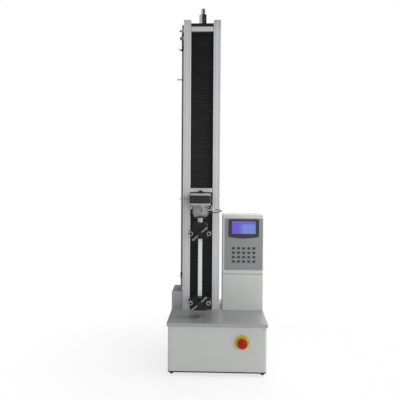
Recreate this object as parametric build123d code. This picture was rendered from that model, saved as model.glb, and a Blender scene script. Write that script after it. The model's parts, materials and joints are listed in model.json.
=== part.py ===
from build123d import *
import math
import os

# Single-column universal testing machine. Millimetres, +Z up, front towards -Y.
# The origin is on the floor, at the centre of the footprint.

# Base and table
cover_width = 400.0
table_overhang = 5.0
table_depth = 450.0
table_thickness = 14.0
table_top_z = 215.0
table_corner = 8.0
foot_height = 14.0
foot_diameter = 16.0
foot_inset = 14.0
base_plate_thickness = 5.0
sheet = 2.0
cover_corner = 10.0
vent_length = 60.0
vent_width = 5.0
vent_pitch = 14.0
vent_count = 6

# Emergency stop on the front of the base
stop_inset = 99.0
stop_z = 140.0
stop_disc_diameter = 60.0
stop_disc_thickness = 2.0
stop_collar_diameter = 30.0
stop_collar_length = 9.0
stop_barrel_diameter = 22.0
stop_barrel_length = 14.0
stop_block_size = 32.0
stop_button_diameter = 40.0
stop_button_height = 18.0
stop_stem_diameter = 14.0
stop_travel = 5.0
stop_projection = 35.0

# Column
column_rear_margin = 73.0
carriage_clearance = 4.0
column_depth = 140.0
column_top_z = 1510.0
profile_width = 33.0
profile_corner = 2.0
profile_wall = 4.0
groove_width = 3.0
groove_depth = 1.5
slot_mouth = 8.0
slot_width = 14.0
slot_depth = 9.0
slot_lip = 3.0
back_cover_flange = 18.0
foot_block_height = 24.0
top_plate_thickness = 14.0
top_plate_drop = 15.0

# Screw drive and guides
screw_setback = 95.0
screw_diameter = 25.0
journal_diameter = 20.0
screw_end_z = 1591.0
guide_setback = 50.0
guide_spacing = 56.0
guide_diameter = 20.0
guide_socket = 8.0
bearing_diameter = 42.0
bearing_height = 12.0
housing_flange_diameter = 60.0
housing_flange_thickness = 6.0
housing_diameter = 36.0
housing_top_z = 1563.0
pulley_bottom_z = 146.0
pulley_height = 20.0
pulley_flange = 3.0
pulley_flange_rise = 4.0
pulley_windows = 6
pulley_window_diameter = 17.0
pulley_window_reach = 21.0
screw_pulley_diameter = 76.0
motor_pulley_diameter = 38.0
belt_thickness = 2.5
belt_centres = 134.0
motor_size = 86.0
motor_corner = 10.0
motor_shaft_diameter = 14.0
motor_foot = 8.0
motor_cap_height = 30.0
motor_flange_height = 12.0
motor_shaft_gap = 6.0

# Bellows and their bars
bellows_setback = 4.0
bellows_depth = 22.0
bellows_pitch = 10.0
bellows_skin = 5.0
bellows_side_gap = 1.0
bar_height = 18.0
bar_setback = 2.0
bar_notch_radius = 6.0
top_bar_height = 21.0

# Crosshead
crosshead_z = 714.0
arm_height = 48.0
arm_width = 82.0
arm_throat = 130.0
arm_nose = 38.0
arm_root_height = 58.0
arm_taper = 34.0
arm_pocket_depth = 26.0
arm_pocket_wall = 14.0
carriage_wall = 3.0
carriage_setback = 30.0
carriage_depth = 92.0
carriage_height = 110.0
bush_diameter = 30.0
bush_length = 28.0
nut_diameter = 36.0
nut_length = 46.0
nut_flange_diameter = 54.0
nut_flange_thickness = 10.0
cover_shell_height = 33.0
cover_shell_clearance = 2.0
cover_shell_length = 150.0
cover_shell_corner = 5.0

# Load cell and its lead
cell_diameter = 70.0
cell_height = 54.0
cell_flange_height = 7.0
cell_flange_diameter = 76.0
cell_waist = 3.0
cell_bottom_diameter = 26.0
cell_flat = 3.0
plug_drop = 20.0
plug_flange_diameter = 20.0
plug_flange_thickness = 3.0
plug_barrel_diameter = 13.0
plug_barrel_length = 16.0
plug_boot_length = 12.0
lead_diameter = 4.0
gland_diameter = 13.0
gland_length = 9.0
gland_x = 19.0
gland_y = 53.0
lead_drop = 23.5
lead_sag = 4.0
lead_run = 49.0
lead_bow = 30.0
lead_straight = 18.0
lead_dip = 6.5
lead_bend = 0.45

# Limit device
rod_diameter = 8.0
rod_offset = 7.0
rod_setback = 43.0
rod_top_z = 1500.0
rod_bottom_z = 262.0
guide_block_height = 14.0
upper_guide_z = 1466.0
collar_wall = 2.5
collar_height = 12.0
collar_screw_length = 18.0
collar_screw_diameter = 4.0
upper_collar_z = 1248.0
lower_collar_z = 348.0
striker_thickness = 4.0
striker_reach = 12.0
striker_finger = 7.0
striker_tab = 24.0
switch_housing_width = 47.0
switch_housing_height = 80.0
switch_housing_depth = 160.0
switch_height = 40.0
switch_width = 18.0

# Grips
strip_width = 17.0
strip_thickness = 2.0
upper_mouth_z = 551.0
lower_mouth_z = 304.0
grip_height = 66.0
grip_half_width = 30.0
grip_shoulder = 20.0
grip_axis = 21.0
grip_leg = 14.0
grip_bridge = 17.0
grip_pad = 8.0
grip_pad_half_width = 26.0
grip_ear_radius = 11.0
pin_spacing = 74.0
pin_diameter = 10.0
pin_head_diameter = 18.0
pin_head_height = 8.0
pin_socket_width = 10.0
pin_socket_depth = 5.0
jaw_thickness = 12.0
jaw_height = 42.0
jaw_travel = 10.0
tooth_pitch = 3.0
tooth_depth = 0.8
clamp_screw_diameter = 16.0
clamp_tip_diameter = 10.0
clamp_tip_length = 5.0
clamp_head_diameter = 22.0
clamp_head_length = 25.0
clamp_head_gap = 2.0
bar_diameter = 7.0
bar_length = 80.0
bar_knob_diameter = 10.0
bar_knob_length = 7.0
bar_angle = 42.0
adapter_diameter = 22.0
adapter_groove = 2.0
adapter_spigot_diameter = 14.0
adapter_spigot_length = 12.0

# Cabinet
cabinet_gap = 12.0
cabinet_depth = 160.0
cabinet_top_z = 644.0
cabinet_seam_z = 375.0
cabinet_seam_height = 4.0
cabinet_seam_inset = 3.0
cabinet_corner = 5.0
panel_height = 231.0
panel_margin_left = 11.0
panel_margin_right = 3.0
panel_bottom_z = 396.0
panel_thickness = 4.0
panel_recess = 3.0
panel_corner = 4.0
panel_wall = 3.0
bezel_side_margin = 17.0
bezel_height = 78.0
bezel_bow = 7.0
bezel_top_margin = 4.0
bezel_thickness = 3.0
screen_side_margin = 13.0
screen_height = 60.0
screen_thickness = 3.0
screen_overlap = 2.0
screen_top_margin = 11.0
key_columns = 5
key_rows = 4
key_side_margin = 21.0
key_fill = 0.57
key_pitch_z = 19.7
key_height = 10.0
key_rise = 1.2
key_top_z = 493.0

# Power inlet on the back of the base
inlet_inset = 80.0
inlet_z = 110.0
inlet_width = 48.0
inlet_height = 62.0
inlet_flange = 3.0
inlet_border = 4.0
inlet_depth = 32.0
socket_width = 26.0
socket_height = 20.0
socket_depth = 18.0
rocker_width = 22.0
rocker_height = 15.0
rocker_depth = 8.0
rocker_tilt = 10.0

# Clearances
fit = 0.05
running = 0.08
free = 0.3
gap = 1.0
shaft_clearance = 4.0

# Places worked out from the sizes above
table_width = cover_width + 2 * table_overhang
stop_x = cover_width / 2 - stop_inset
inlet_x = cover_width / 2 - inlet_inset
estop_past_table = stop_projection - table_overhang
front_y = (estop_past_table - table_depth) / 2
rear_y = front_y + table_depth
cover_front_y = front_y + table_overhang
cover_rear_y = rear_y - table_overhang
base_plate_top_z = foot_height + base_plate_thickness
table_bottom_z = table_top_z - table_thickness
carriage_width = guide_spacing + bush_diameter + 2 * carriage_wall
inner_half = carriage_width / 2 + carriage_clearance
column_width = 2 * (inner_half + profile_width)
column_rear_y = rear_y - column_rear_margin
column_front_y = column_rear_y - column_depth
column_x = -table_width / 2 + switch_housing_width + gap + column_width / 2
column_left = column_x - column_width / 2
column_right = column_x + column_width / 2
screw_y = column_front_y + screw_setback
guide_y = column_front_y + guide_setback
motor_x = column_x + belt_centres
foot_block_top_z = table_top_z + foot_block_height
top_plate_top_z = column_top_z - top_plate_drop
top_plate_bottom_z = top_plate_top_z - top_plate_thickness
bellows_y = column_front_y + bellows_setback
bar_front_y = column_front_y + bar_setback
carriage_y = column_front_y + carriage_setback
arm_top_z = crosshead_z + arm_height / 2
arm_bottom_z = crosshead_z - arm_height / 2
arm_root_top_z = crosshead_z + arm_root_height / 2
arm_root_bottom_z = crosshead_z - arm_root_height / 2
upper_bar_z = arm_root_top_z
lower_bar_top_z = arm_root_bottom_z
carriage_bottom_z = crosshead_z - carriage_height / 2
carriage_top_z = crosshead_z + carriage_height / 2
load_y = column_front_y - arm_throat
arm_front_y = load_y - arm_nose
cell_bottom_z = arm_bottom_z - cell_height
plug_z = arm_bottom_z - plug_drop
rod_x = column_left - rod_offset
guide_block_width = 2 * rod_offset
collar_diameter = rod_diameter + 2 * collar_wall
rod_y = column_front_y + rod_setback
switch_housing_top_z = table_top_z + switch_housing_height
cabinet_left = column_right + cabinet_gap
cabinet_right = table_width / 2
panel_width = cabinet_right - cabinet_left - panel_margin_left - panel_margin_right
panel_x = cabinet_left + panel_margin_left + panel_width / 2
panel_front_y = column_front_y + panel_recess - panel_thickness
panel_top_z = panel_bottom_z + panel_height
bezel_top_z = panel_top_z - bezel_top_margin
bezel_width = panel_width - 2 * bezel_side_margin
screen_width = bezel_width - 2 * screen_side_margin
key_pitch_x = (bezel_width - key_side_margin) / key_columns
key_width = key_fill * key_pitch_x
screen_z = panel_top_z - screen_top_margin - screen_height / 2


def block(x, y, z):
    """Box between the (low, high) limits on each axis."""
    size = Box(x[1] - x[0], y[1] - y[0], z[1] - z[0])
    return Pos((x[0] + x[1]) / 2, (y[0] + y[1]) / 2, (z[0] + z[1]) / 2) * size


def post(radius, x, y, z):
    """Upright cylinder between the (low, high) heights."""
    height = z[1] - z[0]
    return Pos(x, y, (z[0] + z[1]) / 2) * Cylinder(radius, height)


def pipe_y(radius, x, z, y):
    """Cylinder along Y between the (low, high) limits."""
    length = y[1] - y[0]
    return Pos(x, (y[0] + y[1]) / 2, z) * Rot(90, 0, 0) * Cylinder(radius, length)


def turned(points):
    """Solid of revolution about Z from (radius, height) points."""
    return revolve(Plane.XZ * make_face(Polyline(*points, close=True)), Axis.Z)


def front_plate(sketch, y):
    """Sketch in X and Z, made solid between the (low, high) limits on Y."""
    plane = Plane(origin=(0, y[1], 0), x_dir=(1, 0, 0), z_dir=(0, -1, 0))
    return extrude(plane * sketch, amount=y[1] - y[0])


# Base
def base_plate():
    """Flat steel plate under the cover, with rows of vent slots."""
    outline = RectangleRounded(cover_width, cover_rear_y - cover_front_y, cover_corner)
    middle_y = (cover_front_y + cover_rear_y) / 2
    plate = Pos(0, middle_y, foot_height) * extrude(outline, amount=base_plate_thickness)
    slot = extrude(SlotOverall(vent_length, vent_width), amount=table_top_z)
    for row in GridLocations(2 * vent_length, vent_pitch, 2, vent_count):
        plate -= Pos(0, front_y + vent_count * vent_pitch, 0) * row * slot
    return plate


def rubber_feet():
    """Four turned feet under the plate."""
    radius = foot_diameter / 2
    waist = radius - foot_height / 6
    foot = turned([(0, 0), (waist, 0), (radius, foot_height / 4), (radius, foot_height), (0, foot_height)])
    side = cover_width / 2 - foot_inset
    ends = (cover_front_y + 2 * foot_inset, cover_rear_y - 2 * foot_inset)
    return [Pos(x, y, 0) * foot for x in (-side, side) for y in ends]


def base_cover():
    """Folded sheet wrapped round the base, open above and below."""
    depth = cover_rear_y - cover_front_y
    middle_y = (cover_front_y + cover_rear_y) / 2
    height = table_bottom_z - base_plate_top_z
    outer = RectangleRounded(cover_width, depth, cover_corner)
    inner = RectangleRounded(cover_width - 2 * sheet, depth - 2 * sheet, cover_corner - sheet)
    cover = Pos(0, middle_y, base_plate_top_z) * extrude(outer - inner, amount=height)
    wall_y = (front_y, front_y + cover_corner + sheet)
    cover -= pipe_y(stop_barrel_diameter / 2 + free, stop_x, stop_z, wall_y)
    hole_x = inlet_width / 2 - inlet_border + free
    hole_z = inlet_height / 2 - inlet_border + free
    cover -= block(
        (inlet_x - hole_x, inlet_x + hole_x),
        (cover_rear_y - cover_corner, rear_y),
        (inlet_z - hole_z, inlet_z + hole_z),
    )
    slot = extrude(Plane.YZ * SlotOverall(vent_length, vent_width), amount=table_width, both=True)
    vent_z = (base_plate_top_z + table_bottom_z) / 2
    for row in range(vent_count):
        z = vent_z + (row - (vent_count - 1) / 2) * vent_pitch
        cover -= Pos(0, screw_y, z) * slot
    return cover


def table_top():
    """Thick plate with eased edges and the holes for the screw, cables and lower adapter."""
    middle_y = (front_y + rear_y) / 2
    plate = extrude(RectangleRounded(table_width, table_depth, table_corner), amount=table_thickness)
    plate = Pos(0, middle_y, table_bottom_z) * plate
    upper_edges = plate.faces().sort_by(Axis.Z)[-1].edges()
    plate = chamfer(upper_edges, table_thickness / 10)
    through = (table_bottom_z - gap, table_top_z + gap)
    plate -= post(journal_diameter / 2 + shaft_clearance, column_x, screw_y, through)
    plate -= post(adapter_spigot_diameter / 2 + fit, column_x, load_y, through)
    cable_x = (cabinet_left + cabinet_right) / 2
    plate -= post(journal_diameter, cable_x, screw_y, through)
    return plate


def drive_motor():
    """Foot-mounted motor: foot, finned body, flange and end cap."""
    half = motor_size / 2
    foot_z = (base_plate_top_z, base_plate_top_z + motor_foot)
    top_z = pulley_bottom_z - motor_shaft_gap
    square = RectangleRounded(motor_size, motor_size, motor_corner)
    body = Pos(motor_x, screw_y, foot_z[1]) * extrude(square, amount=top_z - foot_z[1])
    foot_half = half + motor_corner
    body += block((motor_x - foot_half, motor_x + foot_half), (screw_y - half, screw_y + half), foot_z)
    fin_z = (foot_z[1] + motor_cap_height, top_z - motor_flange_height)
    fin_gap = motor_corner / 2
    fins = int((motor_size - 2 * motor_corner) / (2 * fin_gap))
    for index in range(fins):
        y = screw_y - (fins - 1) * fin_gap + 2 * index * fin_gap
        for side in (-half, half):
            x = motor_x + side
            body -= block((x - fin_gap, x + fin_gap), (y - fin_gap / 2, y + fin_gap / 2), fin_z)
    return body - post(motor_shaft_diameter / 2 + free, motor_x, screw_y, (top_z - motor_cap_height, top_z))


def pulley(diameter, bore):
    """Flanged belt pulley with a hub below, its bottom at zero height."""
    rim = diameter / 2
    flange = rim + pulley_flange_rise
    low = pulley_flange
    high = pulley_height - pulley_flange
    profile = [
        (bore, 0), (flange, 0), (flange, low), (rim, low), (rim, high), (flange, high),
        (flange, pulley_height), (bore, pulley_height),
    ]
    return turned(profile)


def screw_pulley():
    """Large pulley on the lower end of the screw."""
    wheel = pulley(screw_pulley_diameter, journal_diameter / 2 + fit)
    window = post(pulley_window_diameter / 2, pulley_window_reach, 0, (-gap, pulley_height + gap))
    for place in PolarLocations(0, pulley_windows):
        wheel -= place * window
    return Pos(column_x, screw_y, pulley_bottom_z) * wheel


def motor_pulley():
    """Small pulley and the motor shaft that carries it."""
    place = Pos(motor_x, screw_y, pulley_bottom_z)
    wheel = place * pulley(motor_pulley_diameter, motor_shaft_diameter / 2 + fit)
    bottom_z = pulley_bottom_z - motor_shaft_gap - motor_cap_height + gap
    shaft = post(motor_shaft_diameter / 2, motor_x, screw_y, (bottom_z, pulley_bottom_z + pulley_height))
    return [wheel, shaft]


def timing_belt():
    """Closed loop round both pulleys."""
    def loop(extra):
        big = Pos(column_x, screw_y) * Circle(screw_pulley_diameter / 2 + free + extra)
        small = Pos(motor_x, screw_y) * Circle(motor_pulley_diameter / 2 + free + extra)
        return make_hull(big.edges() + small.edges())

    width = pulley_height - 2 * pulley_flange - 2 * free
    ring = loop(belt_thickness) - loop(0)
    return Pos(0, 0, pulley_bottom_z + pulley_flange + free) * extrude(ring, amount=width)


# Emergency stop
def stop_turned(points):
    """Turned piece on the axis of the stop, its heights counted out from the cover."""
    return Pos(stop_x, cover_front_y, stop_z) * Rot(90, 0, 0) * turned(points)


def estop_plate():
    """Disc behind the button."""
    hole = stop_barrel_diameter / 2 + free
    rim = stop_disc_diameter / 2
    front = stop_disc_thickness
    edge = front / 2
    profile = [(hole, 0), (rim, 0), (rim, edge), (rim - edge, front), (hole, front)]
    return stop_turned(profile)


def estop_housing():
    """Collar in front of the disc, barrel through the cover and contact block behind."""
    bore = stop_stem_diameter / 2 + free
    barrel = stop_barrel_diameter / 2
    collar = stop_collar_diameter / 2
    seat = stop_disc_thickness
    front = seat + stop_collar_length
    inside = -sheet
    end = inside - stop_barrel_length
    profile = [
        (bore, front), (collar - gap, front), (collar, front - 2 * gap), (collar, seat), (barrel, seat),
        (barrel, inside), (collar, inside), (collar, inside - 4 * gap), (barrel, inside - 4 * gap),
        (barrel, end), (bore, end),
    ]
    half = stop_block_size / 2
    back = cover_front_y - end
    contacts = block(
        (stop_x - half, stop_x + half), (back, back + stop_block_size), (stop_z - half, stop_z + half)
    )
    return stop_turned(profile) + contacts


def estop_button():
    """Mushroom head with a domed face, and its stem."""
    stem = stop_stem_diameter / 2
    rim = stop_button_diameter / 2
    front = stop_projection
    back = front - stop_button_height
    skirt = back + stop_button_height / 2
    end = -stop_barrel_length + stop_travel + gap
    side = Polyline(
        (0, front), (0, end), (stem, end), (stem, back), (rim - 2 * gap, back), (rim, back + gap),
        (rim, skirt),
    )
    rise = front - skirt
    sphere = (rim * rim + rise * rise) / (2 * rise)
    half_turn = math.asin(rim / sphere) / 2
    middle = (sphere * math.sin(half_turn), front - sphere + sphere * math.cos(half_turn))
    dome = ThreePointArc((rim, skirt), middle, (0, front))
    head = revolve(Plane.XZ * make_face(side + dome), Axis.Z)
    return Pos(stop_x, cover_front_y, stop_z) * Rot(90, 0, 0) * head


# Power inlet
def power_inlet():
    """Flanged module in the back wall with a plug socket and a well for the rocker."""
    half_x = inlet_width / 2
    half_z = inlet_height / 2
    body_y = (cover_rear_y - inlet_depth, cover_rear_y)
    flange_y = (cover_rear_y, cover_rear_y + inlet_flange)
    body = block(
        (inlet_x - half_x + inlet_border, inlet_x + half_x - inlet_border), body_y,
        (inlet_z - half_z + inlet_border, inlet_z + half_z - inlet_border),
    )
    face = RectangleRounded(inlet_width, inlet_height, inlet_border)
    body += front_plate(Pos(inlet_x, inlet_z) * face, flange_y)
    open_y = (flange_y[1] - socket_depth, flange_y[1])
    socket = Pos(inlet_x, inlet_z - half_z / 2) * chamfer(
        Rectangle(socket_width, socket_height).vertices().sort_by(Axis.Y)[-2:], socket_height / 4
    )
    body -= front_plate(socket, open_y)
    well = Rectangle(rocker_width + 2 * free, rocker_height + 2 * free)
    body -= front_plate(Pos(inlet_x, rocker_z()) * well, open_y)
    pin_half = rocker_width / 2 - 2 * gap
    seat_y = (open_y[0], rocker_y() - rocker_depth / 2 - 2 * free)
    for x in (inlet_x - pin_half, inlet_x + pin_half):
        body += block((x - gap, x + gap), seat_y, (rocker_z() - gap, rocker_z() + gap))
    return body


def rocker_z():
    """Height of the rocker's axis."""
    return inlet_z + inlet_height / 4


def rocker_y():
    """Depth of the rocker's axis, on the face of the inlet."""
    return cover_rear_y + inlet_flange - rocker_depth / 2


def power_rocker():
    """Rocker with two flat flanks that meet over its axis, resting with one end pressed in."""
    half = rocker_height / 2 - gap / 2
    rise = half * math.tan(math.radians(rocker_tilt))
    top = rocker_depth / 2
    low = half - 2 * gap
    points = [(-low, -top), (low, -top), (half, top - rise), (0, top), (-half, top - rise)]
    plane = Plane(origin=(0, 0, 0), x_dir=(0, 0, 1), z_dir=(-1, 0, 0))
    key = extrude(plane * make_face(Polyline(*points, close=True)), amount=rocker_width / 2, both=True)
    return Pos(inlet_x, rocker_y(), rocker_z()) * Rot(rocker_tilt, 0, 0) * key


# Column
def profile_section():
    """Section of one column profile, its inner face towards +X."""
    half_w = profile_width / 2
    half_d = column_depth / 2
    section = RectangleRounded(profile_width, column_depth, profile_corner)
    for x in (-profile_width / 4, profile_width / 4):
        section -= Pos(x, -half_d) * Rectangle(groove_width, 2 * groove_depth)
    for y in (-column_depth / 4, column_depth / 4):
        mouth = Pos(-half_w + slot_lip / 2, y) * Rectangle(slot_lip, slot_mouth)
        wide = Pos(-half_w + (slot_lip + slot_depth) / 2, y) * Rectangle(slot_depth - slot_lip, slot_width)
        section -= mouth + wide
    chamber = RectangleRounded(
        profile_width - 2 * profile_wall, column_depth / 2 - slot_width - 2 * profile_wall, profile_wall / 2
    )
    section -= chamber
    rear_edge = half_d - profile_wall
    near_edge = column_depth / 4 + slot_width / 2 + profile_wall
    end = RectangleRounded(profile_width - 2 * profile_wall, rear_edge - near_edge, profile_wall / 2)
    for y in (-(rear_edge + near_edge) / 2, (rear_edge + near_edge) / 2):
        section -= Pos(0, y) * end
    return section


def column_profile(side):
    """Extruded profile; side is -1 for the left one and 1 for the right one."""
    section = profile_section()
    if side > 0:
        section = mirror(section, Plane.YZ)
    x = column_x + side * (column_width - profile_width) / 2
    place = Pos(x, column_front_y + column_depth / 2, table_top_z)
    return place * extrude(section, amount=column_top_z - table_top_z)


def column_back_cover():
    """Folded channel that closes the back between the profiles."""
    left = column_x - inner_half
    right = column_x + inner_half
    front = column_rear_y - back_cover_flange
    heights = (foot_block_top_z, top_plate_bottom_z)
    outer = block((left, right), (front, column_rear_y), heights)
    return outer - block((left + sheet, right - sheet), (front, column_rear_y - sheet), heights)


def inner_plate(heights):
    """Plate that fills the column's inside between its profiles."""
    return block(
        (column_x - inner_half, column_x + inner_half),
        (column_front_y + bar_setback, column_rear_y),
        heights,
    )


def guide_places():
    """Centres of the two guide rods."""
    return [(column_x - guide_spacing / 2, guide_y), (column_x + guide_spacing / 2, guide_y)]


def column_foot_block():
    """Block on the table that seats the lower bearing and the guide rods."""
    foot = inner_plate((table_top_z, foot_block_top_z))
    foot -= post(journal_diameter / 2 + shaft_clearance, column_x, screw_y, (table_top_z, foot_block_top_z))
    seat_z = foot_block_top_z - bearing_height
    foot -= post(bearing_diameter / 2 + fit, column_x, screw_y, (seat_z, foot_block_top_z))
    for x, y in guide_places():
        foot -= post(guide_diameter / 2 + fit, x, y, (foot_block_top_z - guide_socket, foot_block_top_z))
    return foot


def column_top_plate():
    """Plate near the top of the profiles that seats the upper bearing."""
    heights = (top_plate_bottom_z, top_plate_top_z)
    plate = inner_plate(heights)
    plate -= post(journal_diameter / 2 + shaft_clearance, column_x, screw_y, heights)
    seat_z = top_plate_top_z - bearing_height
    plate -= post(bearing_diameter / 2 + fit, column_x, screw_y, (seat_z, top_plate_top_z))
    for x, y in guide_places():
        plate -= post(guide_diameter / 2 + fit, x, y, (top_plate_bottom_z, top_plate_bottom_z + guide_socket))
    return plate


def guide_rods():
    """Two hard rods between the foot block and the top plate."""
    heights = (foot_block_top_z - guide_socket, top_plate_bottom_z + guide_socket)
    return [post(guide_diameter / 2, x, y, heights) for x, y in guide_places()]


def screw_bearings():
    """Lower and upper bearing rings."""
    bore = journal_diameter / 2 + running
    rim = bearing_diameter / 2
    land = (rim - bore) / 3
    dip = bearing_height / 12
    high = bearing_height
    profile = [
        (bore, 0), (bore + land, 0), (bore + land, dip), (rim - land, dip), (rim - land, 0), (rim, 0),
        (rim, high), (rim - land, high), (rim - land, high - dip), (bore + land, high - dip),
        (bore + land, high), (bore, high),
    ]
    ring = turned(profile)
    seats = (foot_block_top_z - bearing_height, top_plate_top_z - bearing_height)
    return [Pos(column_x, screw_y, z) * ring for z in seats]


def top_bearing_housing():
    """Turned cap over the upper bearing, with a tall neck round the screw's end."""
    bore = journal_diameter / 2 + free
    flange = housing_flange_diameter / 2
    neck = housing_diameter / 2
    low = top_plate_top_z + housing_flange_thickness
    high = housing_top_z
    profile = [
        (bore, top_plate_top_z), (flange, top_plate_top_z), (flange, low), (neck + 2 * gap, low),
        (neck, low + 2 * gap), (neck, high - gap), (neck - gap, high), (bore, high),
    ]
    return Pos(column_x, screw_y, 0) * turned(profile)


def ball_screw():
    """Screw with turned journals, from the lower pulley up through the top housing."""
    journal = journal_diameter / 2
    radius = screw_diameter / 2
    low = foot_block_top_z + free
    high = top_plate_bottom_z - free
    ease = 2 * gap
    profile = [
        (0, pulley_bottom_z), (journal, pulley_bottom_z), (journal, low), (radius - ease, low),
        (radius, low + ease), (radius, high - ease), (radius - ease, high), (journal, high),
        (journal, screw_end_z - ease), (journal - ease, screw_end_z), (0, screw_end_z),
    ]
    return Pos(column_x, screw_y, 0) * turned(profile)


# Bellows
def bellows(low, high):
    """Pleated sheet between two heights, its skin measured level through a pleat."""
    folds = max(1, round((high - low) / bellows_pitch))
    step = (high - low) / (2 * folds)
    front = bellows_y
    valley = bellows_y + bellows_depth - bellows_skin
    face = [(valley if index % 2 == 0 else front, low + index * step) for index in range(2 * folds + 1)]
    back = [(y + bellows_skin, z) for y, z in reversed(face)]
    plane = Plane(origin=(column_x, 0, 0), x_dir=(0, 1, 0), z_dir=(1, 0, 0))
    outline = plane * make_face(Polyline(*(face + back), close=True))
    return extrude(outline, amount=inner_half - bellows_side_gap, both=True)


def bellows_bar(low, high):
    """Bar that clamps one end of a bellows."""
    half = inner_half - bellows_side_gap
    bar = block((column_x - half, column_x + half), (bar_front_y, carriage_y), (low, high))
    return chamfer(bar.edges().group_by(Axis.Y)[0].filter_by(Axis.X), gap)


def crosshead_bars():
    """Upper bar with its round notch, and lower bar."""
    upper = bellows_bar(upper_bar_z, upper_bar_z + bar_height)
    upper -= pipe_y(bar_notch_radius, column_x, upper_bar_z, (bar_front_y, bar_front_y + bar_notch_radius))
    return [upper, bellows_bar(lower_bar_top_z - bar_height, lower_bar_top_z)]


# Crosshead
def carriage():
    """Block inside the column, bored for the guide bushes and the ball nut."""
    half = carriage_width / 2
    heights = (carriage_bottom_z, carriage_top_z)
    body = block((column_x - half, column_x + half), (carriage_y, carriage_y + carriage_depth), heights)
    body = chamfer(body.edges().filter_by(Axis.Z), 4 * gap)
    for x, y in guide_places():
        body -= post(bush_diameter / 2 + fit, x, y, heights)
    body -= post(nut_diameter / 2 + fit, column_x, screw_y, heights)
    return body


def guide_bushes():
    """Four flangeless bushes in the carriage."""
    outer = bush_diameter / 2
    inner = guide_diameter / 2 + running
    lows = (carriage_bottom_z, carriage_top_z - bush_length)
    bushes = []
    for x, y in guide_places():
        for low in lows:
            heights = (low, low + bush_length)
            bushes.append(post(outer, x, y, heights) - post(inner, x, y, heights))
    return bushes


def ball_nut():
    """Flanged nut on top of the carriage."""
    bore = screw_diameter / 2 + running
    body = nut_diameter / 2
    flange = nut_flange_diameter / 2
    low = carriage_top_z - nut_length
    high = carriage_top_z + nut_flange_thickness
    profile = [
        (bore, low), (body, low), (body, carriage_top_z),
        (flange, carriage_top_z), (flange, high), (bore, high),
    ]
    nut = Pos(column_x, screw_y, 0) * turned(profile)
    flat_y = screw_y - nut_diameter / 2 - gap
    trim = block(
        (column_x - flange, column_x + flange), (screw_y - flange, flat_y), (carriage_top_z, high)
    )
    return nut - trim


def crosshead_arm():
    """Cast cantilever, deep where it meets the carriage and hollowed from below."""
    start = column_front_y
    points = [
        (carriage_y, arm_root_bottom_z), (carriage_y, arm_root_top_z), (start, arm_root_top_z),
        (start - arm_taper, arm_top_z), (arm_front_y, arm_top_z), (arm_front_y, arm_bottom_z),
        (start - arm_taper, arm_bottom_z), (start, arm_root_bottom_z),
    ]
    plane = Plane(origin=(column_x, 0, 0), x_dir=(0, 1, 0), z_dir=(1, 0, 0))
    arm = extrude(plane * make_face(Polyline(*points, close=True)), amount=arm_width / 2, both=True)
    nose = arm.edges().filter_by(Axis.Z).group_by(Axis.Y)[0]
    arm = fillet(nose, cover_shell_corner)
    half = arm_width / 2 - arm_pocket_wall
    pocket_y = (gland_place()[1] + gland_diameter, start - arm_pocket_wall)
    pocket = block(
        (column_x - half, column_x + half), pocket_y, (arm_root_bottom_z, arm_bottom_z + arm_pocket_depth)
    )
    pocket = fillet(pocket.edges().filter_by(Axis.Z), arm_pocket_wall / 3)
    rib = block((column_x - gap, column_x + gap), pocket_y, (arm_root_bottom_z, arm_top_z))
    arm -= pocket - rib
    spigot_z = (arm_bottom_z, arm_bottom_z + adapter_spigot_length)
    arm -= post(adapter_spigot_diameter / 2 + fit, column_x, load_y, spigot_z)
    return arm


def crosshead_cover():
    """Dark cap round the front and sides of the arm."""
    half = arm_width / 2 + cover_shell_clearance + sheet
    front = arm_front_y - sheet
    back = front + cover_shell_length
    low = crosshead_z - cover_shell_height / 2
    high = low + cover_shell_height
    shell = block((column_x - half, column_x + half), (front, back), (low, high))
    shell = fillet(shell.edges().filter_by(Axis.Z).group_by(Axis.Y)[0], cover_shell_corner)
    inside = arm_width / 2
    hollow = block((column_x - inside, column_x + inside), (arm_front_y, back), (low, high))
    hollow = fillet(hollow.edges().filter_by(Axis.Z).group_by(Axis.Y)[0], cover_shell_corner)
    return shell - hollow


def load_cell():
    """Turned cell: flange, waist, and a body that rounds in towards the bottom."""
    top = arm_bottom_z
    flange = cell_flange_diameter / 2
    rim = cell_diameter / 2
    foot = cell_bottom_diameter / 2
    low = cell_bottom_z
    flange_z = top - cell_flange_height
    waist_z = flange_z - cell_waist
    bend_z = low + (rim - foot)
    waist = rim - cell_waist
    spigot = adapter_spigot_diameter / 2
    spigot_z = top + adapter_spigot_length - gap
    blind = spigot + fit
    blind_z = low + adapter_spigot_length
    side = Polyline(
        (0, spigot_z), (spigot, spigot_z), (spigot, top), (flange, top), (flange, flange_z),
        (waist, flange_z), (waist, waist_z), (rim, waist_z), (rim, bend_z),
    )
    bowl = RadiusArc((rim, bend_z), (foot, low), rim - foot)
    under = Polyline((foot, low), (blind, low), (blind, blind_z), (0, blind_z), (0, spigot_z))
    cell = Pos(column_x, load_y, 0) * revolve(Plane.XZ * make_face(side + bowl + under), Axis.Z)
    flat_x = column_x + rim - cell_flat
    flat_half = plug_flange_diameter / 2 + gap
    flat_z = (plug_z - flat_half, plug_z + flat_half)
    return cell - block((flat_x, flat_x + rim), (load_y - rim, load_y + rim), flat_z)


def gland_place():
    """Where the lead's gland hangs under the arm."""
    return (column_x + gland_x, load_y + gland_y)


def plug_end_x():
    """Where the lead leaves the plug's boot."""
    seat = column_x + cell_diameter / 2 - cell_flat
    return seat + plug_flange_thickness + plug_barrel_length + plug_boot_length


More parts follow.
